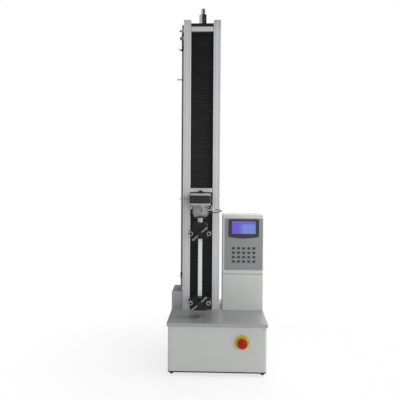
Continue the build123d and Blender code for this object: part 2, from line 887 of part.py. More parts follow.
def cell_lead_fittings():
    """Plug in the cell's side, and gland under the arm."""
    lead = lead_diameter / 2
    flange = plug_flange_diameter / 2
    barrel = plug_barrel_diameter / 2
    first = plug_flange_thickness
    second = first + plug_barrel_length
    third = second + plug_boot_length
    profile = [
        (0, 0), (flange, 0), (flange, first), (barrel, first), (barrel, second), (barrel - gap, second),
        (lead + gap / 2, third), (0, third),
    ]
    seat_x = column_x + cell_diameter / 2 - cell_flat
    plug = Pos(seat_x, load_y, plug_z) * Rot(0, 90, 0) * turned(profile)
    x, y = gland_place()
    radius = gland_diameter / 2
    hexagon = extrude(RegularPolygon(radius, 6), amount=gland_length / 2)
    dome = Cone(lead + gap, radius - gap / 2, gland_length / 2, align=(Align.CENTER, Align.CENTER, Align.MIN))
    low_z = arm_bottom_z - gland_length
    gland = Pos(x, y, low_z + gland_length / 2) * hexagon + Pos(x, y, low_z) * dome
    return [plug, gland]


def lead_route():
    """Points of the lead, from the gland round to the plug."""
    x, y = gland_place()
    end_x = plug_end_x()
    gland_z = arm_bottom_z - gland_length
    low_z = gland_z - lead_drop
    return [
        (x, y, gland_z),
        (x, y, low_z),
        (x + lead_run / 2, y, low_z - lead_sag),
        (x + lead_run, y, low_z - lead_sag / 2),
        (end_x + lead_bow, load_y + lead_drop, plug_z - lead_dip),
        (end_x + lead_straight, load_y, plug_z),
        (end_x, load_y, plug_z),
    ]


def cell_lead():
    """Round lead swept along straight runs and the arcs between them."""
    points = [Vector(*p) for p in lead_route()]
    radii = []
    for before, at, after in zip(points, points[1:], points[2:]):
        turn = (at - before).get_angle(after - at)
        shorter = min((at - before).length, (after - at).length)
        radii.append(lead_bend * shorter / math.tan(math.radians(turn / 2)))
    path = FilletPolyline(*points, radius=radii)
    section = Plane(origin=path @ 0, z_dir=path % 0) * Circle(lead_diameter / 2)
    return sweep(section, path=path)


# Limit device
def limit_rod():
    """Round rod with a groove ring near its top, beside the column."""
    radius = rod_diameter / 2
    ring = collar_diameter / 2 - gap
    low = upper_guide_z - 4 * guide_block_height
    profile = [
        (0, rod_bottom_z), (radius - gap, rod_bottom_z), (radius, rod_bottom_z + gap), (radius, low),
        (ring, low), (ring, low + 4 * gap), (radius, low + 4 * gap), (radius, rod_top_z - gap),
        (radius - gap, rod_top_z), (0, rod_top_z),
    ]
    return Pos(rod_x, rod_y, 0) * turned(profile)


def rod_guide(low):
    """Block with a rounded outer end that guides the rod."""
    half = guide_block_width / 2
    flat = Pos(rod_offset / 2, 0) * Rectangle(rod_offset, guide_block_width)
    section = flat + Circle(half) - Circle(rod_diameter / 2 + free)
    return Pos(rod_x, rod_y, low) * extrude(section, amount=guide_block_height)


def limit_rod_guides():
    """Upper guide on the column, lower guide above the switch housing."""
    return [rod_guide(upper_guide_z), rod_guide(switch_housing_top_z)]


def stop_collar(low, turn):
    """Collar with a thumb screw, turned by an angle from the side away from the column."""
    ring = Circle(collar_diameter / 2) - Circle(rod_diameter / 2 + free)
    collar = extrude(ring, amount=collar_height)
    collar = chamfer(collar.edges().filter_by(GeomType.CIRCLE).sort_by(SortBy.RADIUS)[-2:], gap)
    start = collar_diameter / 2 - gap
    screw = Pos(-start, 0, collar_height / 2) * Rot(0, -90, 0) * Cylinder(
        collar_screw_diameter / 2, collar_screw_length, align=(Align.CENTER, Align.CENTER, Align.MIN)
    )
    return Pos(rod_x, rod_y, low) * Rot(0, 0, turn) * (collar + screw)


def striker_arm():
    """Bent plate from the crosshead round the profile to the rod."""
    z = (crosshead_z - striker_thickness / 2 - 2 * gap, crosshead_z + striker_thickness / 2 - 2 * gap)
    side = column_x - arm_width / 2 - cover_shell_clearance - sheet
    front = column_front_y - gap - striker_reach
    left = rod_x - striker_finger
    plate = block((left, side), (front, column_front_y - gap), z)
    plate += block((left, column_left - gap), (front, rod_y + guide_block_width / 2), z)
    plate = fillet(plate.edges().filter_by(Axis.Z).group_by(Axis.X)[0], guide_block_width / 4)
    tab = block(
        (side - striker_thickness, side), (front - striker_tab, column_front_y - gap),
        (crosshead_z - cover_shell_height / 2, z[1]),
    )
    plate += fillet(tab.edges().filter_by(Axis.X), gap)
    return plate - post(rod_diameter / 2 + gap, rod_x, rod_y, (z[0] - gap, z[1] + gap))


def limit_switch_housing():
    """Sheet housing beside the column's foot, open below, with a hole for the rod."""
    x = (-table_width / 2, column_left - gap)
    y = (column_front_y, column_front_y + switch_housing_depth)
    z = (table_top_z, switch_housing_top_z)
    shell = block(x, y, z)
    rims = shell.faces().sort_by(Axis.Z)[-1].edges() + shell.edges().filter_by(Axis.Z)
    shell = fillet(rims, 2 * sheet)
    shell -= block((x[0] + sheet, x[1] - sheet), (y[0] + sheet, y[1] - sheet), (z[0], z[1] - sheet))
    return shell - post(rod_diameter / 2 + gap, rod_x, rod_y, (z[1] - 2 * sheet, z[1] + sheet))


def limit_switch():
    """Switch on the table under the rod, with a slanted lever."""
    right = column_left - sheet - 2 * gap
    left = right - switch_width
    top = table_top_z + switch_height
    body = block((left, right), (rod_y - switch_width, rod_y + switch_width), (table_top_z, top))
    lever_y = (rod_y - switch_width, rod_y + rod_diameter)
    lever = block((left + gap, right - gap), lever_y, (top, top + sheet / 2))
    return body + lever


# Grips, drawn with the mouth at zero height, the adapter above and the strip in the plane of zero depth
def grip_plate():
    """Front outline of a grip: shoulders above, an ear round each guide pin."""
    shoulder_z = grip_height - (grip_half_width - grip_shoulder)
    points = [
        (-grip_half_width, 0), (grip_half_width, 0), (grip_half_width, shoulder_z),
        (grip_shoulder, grip_height), (-grip_shoulder, grip_height), (-grip_half_width, shoulder_z),
    ]
    outline = make_face(Polyline(*points, close=True))
    ears = SlotCenterToCenter(pin_spacing, 2 * grip_ear_radius)
    return outline + Pos(0, grip_axis) * ears


def jaw_depths():
    """Depths of the rear leg and of the front leg."""
    rear = strip_thickness / 2 + grip_pad
    front = -strip_thickness / 2 - jaw_thickness - jaw_travel - gap
    return (rear, rear + grip_leg), (front - grip_leg, front)


def teeth(half_width, face_y, direction):
    """Row of shallow grooves to cut across a jaw face."""
    cuts = []
    count = int((jaw_height - tooth_pitch) / tooth_pitch)
    points = [(-tooth_depth, 0), (0, tooth_depth * direction), (tooth_depth, 0)]
    for index in range(count):
        z = tooth_pitch * (index + 1)
        groove = make_face(Polyline(*[(face_y + y, z + x) for x, y in points], close=True))
        plane = Plane(origin=(0, 0, 0), x_dir=(0, 1, 0), z_dir=(1, 0, 0))
        cuts.append(extrude(plane * groove, amount=half_width, both=True))
    return cuts


def grip_body():
    """Yoke with two legs, the bridge between them and the fixed jaw."""
    rear, front = jaw_depths()
    body = front_plate(grip_plate(), (front[0], rear[1]))
    wide = pin_spacing + 2 * grip_ear_radius
    body -= block((-wide, wide), (front[1], rear[0]), (-gap, grip_height - grip_bridge))
    pad = block((-grip_pad_half_width, grip_pad_half_width), (strip_thickness / 2, rear[0]), (0, jaw_height))
    for cut in teeth(grip_pad_half_width, strip_thickness / 2, 1):
        pad -= cut
    body += pad
    for x in (-pin_spacing / 2, pin_spacing / 2):
        body -= pipe_y(pin_diameter / 2 + fit, x, grip_axis, (front[0], rear[1]))
    body -= pipe_y(clamp_screw_diameter / 2 + free, 0, grip_axis, (front[0] - gap, front[1] + gap))
    spigot = (grip_height - adapter_spigot_length, grip_height)
    return body - post(adapter_spigot_diameter / 2 + fit, 0, 0, spigot)


def grip_pins():
    """Two guide pins with socket heads in front."""
    rear, front = jaw_depths()
    pins = []
    for x in (-pin_spacing / 2, pin_spacing / 2):
        head_y = (front[0] - pin_head_height, front[0])
        pin = pipe_y(pin_diameter / 2, x, grip_axis, (front[0], rear[1]))
        head = pipe_y(pin_head_diameter / 2, x, grip_axis, head_y)
        head = chamfer(head.edges().filter_by(GeomType.CIRCLE).sort_by(Axis.Y)[0], gap)
        hexagon = RegularPolygon(pin_socket_width / 2, 6, major_radius=False)
        socket = front_plate(Pos(x, grip_axis) * hexagon, (head_y[0], head_y[0] + pin_socket_depth))
        pins.append(pin + head - socket)
    return pins


def front_jaw():
    """Moving jaw, with an ear that slides on each pin and a hole for the screw's tip."""
    face_y = -strip_thickness / 2
    depths = (face_y - jaw_thickness, face_y)
    plate = Pos(0, jaw_height / 2) * RectangleRounded(2 * grip_pad_half_width, jaw_height, gap)
    plate += Pos(0, grip_axis) * SlotCenterToCenter(pin_spacing, 2 * grip_ear_radius - 4 * gap)
    jaw = front_plate(plate, depths)
    relief = strip_thickness
    for side in (-1, 1):
        ear = (side * grip_pad_half_width, side * pin_spacing)
        jaw -= block((min(ear), max(ear)), (face_y - relief, face_y), (-gap, jaw_height))
        x = side * pin_spacing / 2
        jaw -= pipe_y(pin_diameter / 2 + free, x, grip_axis, depths)
    for cut in teeth(grip_pad_half_width, face_y, -1):
        jaw -= cut
    tip = (depths[0] - gap, depths[0] + clamp_tip_length + free)
    return jaw - pipe_y(clamp_tip_diameter / 2 + free, 0, grip_axis, tip)


def bar_depth():
    """Depth of the tommy bar's axis."""
    _, front = jaw_depths()
    return front[0] - clamp_head_gap - clamp_head_length / 2


def clamp_screw():
    """Screw with a turned head, cross-drilled for the tommy bar."""
    _, front = jaw_depths()
    tip_y = -strip_thickness / 2 - jaw_thickness + clamp_tip_length
    shank_y = -strip_thickness / 2 - jaw_thickness - free
    head_y = front[0] - clamp_head_gap
    end_y = head_y - clamp_head_length
    tip = clamp_tip_diameter / 2
    shank = clamp_screw_diameter / 2
    head = clamp_head_diameter / 2
    ease = 2 * gap
    profile = [
        (0, -tip_y), (tip, -tip_y), (tip, -shank_y), (shank, -shank_y), (shank, -head_y),
        (head - ease, -head_y), (head, -head_y + ease), (head, -end_y - ease),
        (head - ease, -end_y), (0, -end_y),
    ]
    screw = Pos(0, 0, grip_axis) * Rot(90, 0, 0) * turned(profile)
    hole = Cylinder(bar_diameter / 2 + free, 2 * clamp_head_diameter)
    return screw - Pos(0, bar_depth(), grip_axis) * Rot(0, 90 - bar_angle, 0) * hole


def tommy_bar():
    """Round bar with a turned knob on each end."""
    radius = bar_diameter / 2
    knob = bar_knob_diameter / 2
    half = bar_length / 2
    inner = half - bar_knob_length
    profile = [
        (0, -half), (knob - gap, -half), (knob, -half + gap), (knob, -inner - gap), (radius, -inner),
        (radius, inner), (knob, inner + gap), (knob, half - gap), (knob - gap, half), (0, half),
    ]
    return Pos(0, bar_depth(), grip_axis) * Rot(0, 90 - bar_angle, 0) * turned(profile)


def adapter(length):
    """Turned stub with a ring groove and a spigot at each end, its lower face at zero height."""
    radius = adapter_diameter / 2
    spigot = adapter_spigot_diameter / 2
    reach = adapter_spigot_length - gap
    middle = length / 2
    half = adapter_groove / 2
    profile = [
        (0, -reach), (spigot, -reach), (spigot, 0), (radius - gap, 0), (radius, gap), (radius, middle - half),
        (radius - adapter_groove, middle - half), (radius - adapter_groove, middle + half),
        (radius, middle + half), (radius, length - gap), (radius - gap, length), (spigot, length),
        (spigot, length + reach), (0, length + reach),
    ]
    return turned(profile)


def test_strip():
    """Flat strip held in both grips."""
    low = lower_mouth_z - jaw_height
    high = upper_mouth_z + jaw_height
    half = strip_width / 2
    return block(
        (column_x - half, column_x + half),
        (load_y - strip_thickness / 2, load_y + strip_thickness / 2),
        (low, high),
    )


# Cabinet
def cabinet_base():
    """Sheet shell between the table and the control box, vented at the back."""
    width = cabinet_right - cabinet_left
    middle = Pos((cabinet_left + cabinet_right) / 2, column_front_y + cabinet_depth / 2, table_top_z)
    outer = RectangleRounded(width, cabinet_depth, cabinet_corner)
    inner = RectangleRounded(width - 2 * sheet, cabinet_depth - 2 * sheet, cabinet_corner - sheet)
    shell = middle * extrude(outer - inner, amount=cabinet_seam_z - table_top_z)
    centre_z = (table_top_z + cabinet_seam_z) / 2
    rear = column_front_y + cabinet_depth
    for row in range(vent_count):
        z = centre_z + (row - (vent_count - 1) / 2) * vent_pitch
        slot = Pos((cabinet_left + cabinet_right) / 2, z) * SlotOverall(vent_length, vent_width)
        shell -= front_plate(slot, (rear - cabinet_corner, rear + gap))
    return shell


def control_box():
    """Housing over the seam, hollow from below, with a recess for the panel."""
    x = (cabinet_left, cabinet_right)
    y = (column_front_y, column_front_y + cabinet_depth)
    seam_top = cabinet_seam_z + cabinet_seam_height
    box = block(x, y, (seam_top, cabinet_top_z))
    rims = box.faces().sort_by(Axis.Z)[-1].edges() + box.edges().filter_by(Axis.Z)
    box = fillet(rims, cabinet_corner)
    inset = cabinet_seam_inset
    box += block((x[0] + inset, x[1] - inset), (y[0] + inset, y[1] - inset), (cabinet_seam_z, seam_top))
    wall = inset + sheet
    front_wall = panel_recess + panel_wall
    box -= block(
        (x[0] + wall, x[1] - wall), (y[0] + front_wall, y[1] - wall), (cabinet_seam_z, cabinet_top_z - wall)
    )
    recess = Pos(panel_x, panel_bottom_z + panel_height / 2) * RectangleRounded(
        panel_width + 2 * free, panel_height + 2 * free, panel_corner
    )
    return box - front_plate(recess, (y[0] - gap, y[0] + panel_recess))


def control_panel():
    """Front plate with a window for the screen."""
    outline = Pos(panel_x, panel_bottom_z + panel_height / 2) * RectangleRounded(
        panel_width, panel_height, panel_corner
    )
    window = Pos(panel_x, screen_z) * Rectangle(screen_width + 2 * free, screen_height + 2 * free)
    return front_plate(outline - window, (panel_front_y, panel_front_y + panel_thickness))


def display_screen():
    """Glass in the panel's window."""
    glass = Pos(panel_x, screen_z) * Rectangle(screen_width, screen_height)
    return front_plate(glass, (panel_front_y, panel_front_y + screen_thickness))


def display_bezel():
    """Frame in front of the screen, its lower edge bowed down."""
    half = bezel_width / 2
    low = bezel_top_z - bezel_height
    left = panel_x - half
    right = panel_x + half
    sides = Polyline((left, low), (left, bezel_top_z), (right, bezel_top_z), (right, low))
    bow = ThreePointArc((right, low), (panel_x, low - bezel_bow), (left, low))
    face = make_face(sides + bow)
    face = fillet(face.vertices(), panel_corner)
    window = Pos(panel_x, screen_z) * RectangleRounded(
        screen_width - 2 * screen_overlap, screen_height - 2 * screen_overlap, screen_overlap
    )
    frame = front_plate(face - window, (panel_front_y - bezel_thickness, panel_front_y))
    rim = frame.faces().sort_by(Axis.Y)[0].outer_wire().edges()
    return chamfer(rim, bezel_thickness / 3)


def keypad():
    """Rows of raised keys on the panel."""
    key = extrude(RectangleRounded(key_width, key_height, gap), amount=key_rise)
    key = chamfer(key.faces().sort_by(Axis.Z)[-1].edges(), key_rise / 3)
    face = Plane(origin=(panel_x, panel_front_y, key_top_z), x_dir=(1, 0, 0), z_dir=(0, -1, 0))
    keys = []
    for row in range(key_rows):
        for column in range(key_columns):
            x = (column - (key_columns - 1) / 2) * key_pitch_x
            keys.append(face * Pos(x, -row * key_pitch_z, 0) * key)
    return keys


# Where each grip goes; the lower one is the upper one turned over
upper_place = Pos(column_x, load_y, upper_mouth_z)
lower_place = Pos(column_x, load_y, lower_mouth_z) * Rot(0, 180, 0)
upper_adapter_length = cell_bottom_z - upper_mouth_z - grip_height
lower_adapter_length = lower_mouth_z - grip_height - table_top_z

solids = {
    "base_plate": base_plate(),
    "rubber_feet": rubber_feet(),
    "base_cover": base_cover(),
    "table_top": table_top(),
    "drive_motor": drive_motor(),
    "screw_pulley": screw_pulley(),
    "motor_pulley": motor_pulley(),
    "timing_belt": timing_belt(),
    "estop_plate": estop_plate(),
    "estop_housing": estop_housing(),
    "estop_button": estop_button(),
    "power_inlet": power_inlet(),
    "power_rocker": power_rocker(),
    "column_left_profile": column_profile(-1),
    "column_right_profile": column_profile(1),
    "column_back_cover": column_back_cover(),
    "column_foot_block": column_foot_block(),
    "column_top_plate": column_top_plate(),
    "guide_rods": guide_rods(),
    "screw_bearings": screw_bearings(),
    "top_bearing_housing": top_bearing_housing(),
    "ball_screw": ball_screw(),
    "upper_bellows": bellows(upper_bar_z + bar_height, top_plate_bottom_z - top_bar_height),
    "lower_bellows": bellows(foot_block_top_z, lower_bar_top_z - bar_height),
    "bellows_top_bar": bellows_bar(top_plate_bottom_z - top_bar_height, top_plate_bottom_z),
    "crosshead_bars": crosshead_bars(),
    "carriage": carriage(),
    "guide_bushes": guide_bushes(),
    "ball_nut": ball_nut(),
    "crosshead_arm": crosshead_arm(),
    "crosshead_cover": crosshead_cover(),
    "load_cell": load_cell(),
    "cell_lead_fittings": cell_lead_fittings(),
    "cell_lead": cell_lead(),
    "limit_rod": limit_rod(),
    "limit_rod_guides": limit_rod_guides(),
    "upper_collar": stop_collar(upper_collar_z, 0),
    "lower_collar": stop_collar(lower_collar_z, -90),
    "striker_arm": striker_arm(),
    "limit_switch_housing": limit_switch_housing(),
    "limit_switch": limit_switch(),
    "upper_grip_adapter": upper_place * Pos(0, 0, grip_height) * adapter(upper_adapter_length),
    "lower_grip_adapter": lower_place * Pos(0, 0, grip_height) * adapter(lower_adapter_length),
    "test_strip": test_strip(),
    "cabinet_base": cabinet_base(),
    "control_box": control_box(),
    "control_panel": control_panel(),
    "display_screen": display_screen(),
    "display_bezel": display_bezel(),
    "keypad": keypad(),
}

for side, place in (("upper", upper_place), ("lower", lower_place)):
    solids[side + "_grip_body"] = place * grip_body()
    solids[side + "_grip_pins"] = [place * pin for pin in grip_pins()]
    solids[side + "_front_jaw"] = place * front_jaw()
    solids[side + "_clamp_screw"] = place * clamp_screw()
    solids[side + "_tommy_bar"] = place * tommy_bar()

os.makedirs("parts", exist_ok=True)
for name, shape in solids.items():
    whole = Compound(children=shape) if isinstance(shape, list) else shape
    export_step(whole, "parts/" + name + ".step")
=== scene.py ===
"""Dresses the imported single-column testing machine and sets up its studio view."""

from __future__ import annotations

import functools
import json
import logging
import math
import random
from contextlib import contextmanager
from dataclasses import dataclass, replace
from enum import Enum
from typing import Callable, Iterator, Optional, Sequence

import bmesh
import bpy
from mathutils import Matrix, Vector


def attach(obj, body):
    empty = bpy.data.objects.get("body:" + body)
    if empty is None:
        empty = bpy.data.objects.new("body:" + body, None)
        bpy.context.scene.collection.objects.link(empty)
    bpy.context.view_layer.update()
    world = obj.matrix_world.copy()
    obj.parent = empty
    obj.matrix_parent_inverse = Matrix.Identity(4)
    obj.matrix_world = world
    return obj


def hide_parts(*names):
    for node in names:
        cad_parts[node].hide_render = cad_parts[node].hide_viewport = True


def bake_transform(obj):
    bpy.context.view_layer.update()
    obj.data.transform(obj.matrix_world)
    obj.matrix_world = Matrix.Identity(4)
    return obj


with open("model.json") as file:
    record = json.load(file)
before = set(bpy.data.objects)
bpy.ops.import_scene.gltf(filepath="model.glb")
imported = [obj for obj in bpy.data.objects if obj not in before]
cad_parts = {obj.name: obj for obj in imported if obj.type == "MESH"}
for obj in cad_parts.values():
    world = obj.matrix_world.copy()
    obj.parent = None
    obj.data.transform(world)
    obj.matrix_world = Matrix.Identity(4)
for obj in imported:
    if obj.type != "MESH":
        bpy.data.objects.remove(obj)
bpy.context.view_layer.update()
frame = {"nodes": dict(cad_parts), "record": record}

log = logging.getLogger("testing_machine")
Point = tuple[float, float, float]
Span = tuple[float, float]
Size = tuple[float, float]
Colour = tuple[int, int, int]
Linear = tuple[float, float, float, float]
Piece = bpy.types.Object
Socket = bpy.types.NodeSocket
MM = 0.001
QUARTER = math.pi / 2
WHITE = (1.0, 1.0, 1.0, 1.0)

# Places that several sub-assemblies share, in millimetres
COLUMN_X = -74.0
LOAD_Y = -103.0
ROD_X = -164.0
ROD_Y = 70.0

# Least share of a face's normal along its axis, and the most across it
ALONG = 0.9
ACROSS = 0.1

# Levels that the shared shader effects work between
NOISE_RANGE = (0.3, 0.7)
MOTTLE_GAIN = 4.0
EDGE_TURN = (0.995, 0.90)
CHIP_SCALE = 160.0
CHIP_RANGE = (0.42, 0.62)

# Numbers of a mix node's colour sockets
MIX_FIRST = 6
MIX_SECOND = 7
MIX_RESULT = 2

# Stretch of a metal's grain, round a turned piece and along an extruded one
TURNED = (0.05, 0.05, 1.0)
EXTRUDED = (1.0, 1.0, 0.02)


class Pick(Enum):
    """What an edit-mode selection picks."""

    VERT = "verts"
    EDGE = "edges"
    FACE = "faces"


class Axis(Enum):
    """Direction in which a face, a turned piece or a screw points."""

    UP = Matrix.Identity(4)
    DOWN = Matrix.Rotation(math.pi, 4, "X")
    FRONT = Matrix.Rotation(QUARTER, 4, "X")
    BACK = Matrix.Rotation(-QUARTER, 4, "X")
    LEFT = Matrix.Rotation(-QUARTER, 4, "Y")
    RIGHT = Matrix.Rotation(QUARTER, 4, "Y")

    def way(self) -> Vector:
        """Unit vector in that direction."""
        return self.value.col[2].to_3d()


Place = tuple[Point, Axis]


def linear(colour: Colour) -> Linear:
    """Screen colour as the linear colour that shaders take.

    Args:
        colour: red, green and blue from 0 to 255.

    Returns:
        Linear red, green, blue and an alpha of one.
    """
    steps = [c / 255 for c in colour]
    rgb = [c / 12.92 if c <= 0.04045 else ((c + 0.055) / 1.055) ** 2.4 for c in steps]
    return (rgb[0], rgb[1], rgb[2], 1.0)


class Tree:
    """A node tree with short calls to add and link nodes."""

    def __init__(self, tree: bpy.types.NodeTree) -> None:
        """Keeps the tree."""
        self.tree = tree

    def put(self, value: object, socket: Socket) -> None:
        """Links a socket to an input, or sets a plain value on it.

        Args:
            value: a socket, number, vector or colour.
            socket: the input that takes it.
        """
        if isinstance(value, bpy.types.NodeSocket):
            self.tree.links.new(value, socket)
        else:
            socket.default_value = value

    def add(self, kind: str, inputs: Optional[dict] = None, **settings: object) -> bpy.types.Node:
        """Adds a node, sets its options, and sets or links its inputs.

        Args:
            kind: node type without its ShaderNode prefix.
            inputs: values or sockets by input name or number.
            settings: attributes of the node.

        Returns:
            The new node.
        """
        node = self.tree.nodes.new("ShaderNode" + kind)
        for name, value in settings.items():
            setattr(node, name, value)
        for key, value in (inputs or {}).items():
            self.put(value, node.inputs[key])
        return node

    def group(self, effect: bpy.types.NodeTree, inputs: dict) -> bpy.types.Node:
        """Places a shared effect and sets its inputs."""
        return self.add("Group", inputs, node_tree=effect)

    def place(self) -> Socket:
        """Object coordinates of the surface."""
        return self.add("TexCoord").outputs["Object"]

    def noise(self, place: Socket, scale: object, detail: float, roughness: float = 0.5) -> Socket:
        """Level of a noise pattern, from zero to one."""
        inputs = {"Vector": place, "Scale": scale, "Detail": detail, "Roughness": roughness}
        return self.add("TexNoise", inputs).outputs["Fac"]

    def ramp(self, factor: Socket, limits: Span, to: Span = (0.0, 1.0)) -> Socket:
        """Maps a factor between two limits to another pair of values, clamped."""
        inputs = {"From Min": limits[0], "From Max": limits[1], "To Min": to[0], "To Max": to[1]}
        return self.add("MapRange", {"Value": factor, **inputs}).outputs["Result"]

    def math(self, operation: str, first: object, second: object = 0.0) -> Socket:
        """One arithmetic step."""
        return self.add("Math", {0: first, 1: second}, operation=operation).outputs[0]

    def mix(self, factor: object, first: object, second: object) -> Socket:
        """Mixes two colours by a factor."""
        inputs = {"Factor": factor, MIX_FIRST: first, MIX_SECOND: second}
        return self.add("Mix", inputs, data_type="RGBA").outputs[MIX_RESULT]


def new_group(name: str, takes: dict, gives: dict) -> tuple[Tree, dict, bpy.types.Node]:
    """Starts a shader node group with named sockets.

    Args:
        name: the group's name.
        takes: input names and socket kinds.
        gives: output names and socket kinds.

    Returns:
        The tree, its input sockets by name, and its output node.
    """
    group = bpy.data.node_groups.new(name, "ShaderNodeTree")
    for way, sockets in (("INPUT", takes), ("OUTPUT", gives)):
        for socket, kind in sockets.items():
            group.interface.new_socket(socket, in_out=way, socket_type="NodeSocket" + kind)
    tree = Tree(group)
    start = group.nodes.new("NodeGroupInput")
    end = group.nodes.new("NodeGroupOutput")
    return tree, {s: start.outputs[s] for s in takes}, end


@functools.cache
def mottle_group() -> bpy.types.NodeTree:
    """Slow drift in a colour's brightness, from handling and uneven coating.

    Returns:
        The group, made once.
    """
    kinds = {"Colour": "Color", "Scale": "Float", "Amount": "Float"}
    tree, takes, end = new_group("mottle", kinds, {"Colour": "Color"})
    noise = tree.noise(tree.place(), takes["Scale"], detail=5.0, roughness=0.6)
    swing = tree.math("SUBTRACT", noise, 0.5)
    amount = tree.math("MULTIPLY", takes["Amount"], MOTTLE_GAIN)
    gain = tree.math("ADD", 1.0, tree.math("MULTIPLY", swing, amount))
    shaded = tree.add("VectorMath", {0: takes["Colour"], "Scale": gain}, operation="SCALE")
    tree.put(shaded.outputs["Vector"], end.inputs["Colour"])
    return tree.tree


@functools.cache
def grain_group() -> bpy.types.NodeTree:
    """Fine grain, drawn out along one axis for brushed or extruded metal.

    Returns:
        The group, made once.
    """
    tree, takes, end = new_group("grain", {"Stretch": "Vector", "Scale": "Float"}, {"Height": "Float"})
    drawn = tree.add("VectorMath", {0: tree.place(), 1: takes["Stretch"]}, operation="MULTIPLY")
    noise = tree.noise(drawn.outputs["Vector"], takes["Scale"], detail=3.0, roughness=0.6)
    tree.put(noise, end.inputs["Height"])
    return tree.tree


@functools.cache
def edge_group() -> bpy.types.NodeTree:
    """Rounded edges, and a broken mask of the places that rub bare along them.

    Returns:
        The group, made once.
    """
    tree, takes, end = new_group("edge", {"Radius": "Float"}, {"Mask": "Float", "Normal": "Vector"})
    bevel = tree.add("Bevel", {"Radius": takes["Radius"]}, samples=6).outputs["Normal"]
    face = tree.add("NewGeometry").outputs["Normal"]
    turn = tree.add("VectorMath", {0: bevel, 1: face}, operation="DOT_PRODUCT").outputs["Value"]
    chips = tree.noise(tree.place(), CHIP_SCALE, detail=4.0)
    broken = tree.math("MULTIPLY", tree.ramp(turn, EDGE_TURN), tree.ramp(chips, CHIP_RANGE))
    tree.put(broken, end.inputs["Mask"])
    tree.put(bevel, end.inputs["Normal"])
    return tree.tree


class Shader(Tree):
    """A material with its Principled shader in place."""

    def __init__(self, name: str) -> None:
        """Starts an empty material with a shader and an output.

        Args:
            name: the material's name.
        """
        self.material = bpy.data.materials.new(name)
        self.material.use_nodes = True
        super().__init__(self.material.node_tree)
        self.tree.nodes.clear()
        self.bsdf = self.add("BsdfPrincipled")
        self.add("OutputMaterial", {"Surface": self.bsdf.outputs["BSDF"]})

    def feed(self, **values: object) -> None:
        """Sets or links the shader's inputs, written with underscores for blanks."""
        for name, value in values.items():
            self.put(value, self.bsdf.inputs[name.replace("_", " ")])

    def show(self, surface: Socket) -> None:
        """Shows another surface in place of the shader's own."""
        self.add("OutputMaterial", {"Surface": surface}, is_active_output=True)


@dataclass(frozen=True)
class Finish:
    """A surface finish: colour, gloss, drift in brightness, grain, rubbed edges and a bare foot.

    Lengths are in millimetres, and below the height of bare_below the coating is ground away.
    """

    slot: str
    colour: Colour
    metallic: float = 0.0
    roughness: float = 0.45
    spread: float = 0.08
    mottle: float = 0.03
    mottle_scale: float = 9.0
    stretch: tuple[float, float, float] = (1.0, 1.0, 1.0)
    grain_scale: float = 900.0
    grain_depth: float = 0.05
    edge_radius: float = 0.8
    wear: float = 0.0
    wear_colour: Colour = (200, 200, 200)
    coat: float = 0.0
    coat_roughness: float = 0.15
    specular: float = 0.5
    bare_below: Optional[float] = None
    bare_blend: float = 0.5
    bare_colour: Colour = (122, 122, 120)

    def material(self) -> bpy.types.Material:
        """Makes the finish's material.

        Returns:
            A procedural material named for the record's slot.
        """
        shader = Shader(self.slot)
        tint = {"Colour": linear(self.colour), "Scale": self.mottle_scale, "Amount": self.mottle}
        colour = shader.group(mottle_group(), tint).outputs["Colour"]
        grain = shader.group(grain_group(), {"Stretch": self.stretch, "Scale": self.grain_scale})
        edge = shader.group(edge_group(), {"Radius": self.edge_radius * MM})
        rubbed = shader.math("MULTIPLY", edge.outputs["Mask"], self.wear)
        colour = shader.mix(rubbed, colour, linear(self.wear_colour))
        metallic: object = self.metallic
        if self.bare_below is not None:
            bare = self.bare_mask(shader, self.bare_below)
            colour = shader.mix(bare, colour, linear(self.bare_colour))
            metallic = shader.ramp(bare, (0.0, 1.0), (self.metallic, 1.0))
        height = grain.outputs["Height"]
        gloss = (self.roughness - self.spread, self.roughness + self.spread)
        roughness = shader.ramp(height, NOISE_RANGE, gloss)
        inputs = {"Height": height, "Normal": edge.outputs["Normal"]}
        inputs.update({"Strength": 1.0, "Distance": self.grain_depth * MM})
        bump = shader.add("Bump", inputs).outputs["Normal"]
        shader.feed(Base_Color=colour, Roughness=roughness, Normal=bump, Metallic=metallic)
        shader.feed(Coat_Weight=self.coat, Coat_Roughness=self.coat_roughness)
        shader.feed(Specular_IOR_Level=self.specular)
        return shader.material

    def bare_mask(self, shader: Shader, top: float) -> Socket:
        """Mask of what lies below a height, with a narrow blend."""
        height = shader.add("SeparateXYZ", {0: shader.place()}).outputs["Z"]
        return shader.ramp(height, ((top + self.bare_blend) * MM, (top - self.bare_blend) * MM))


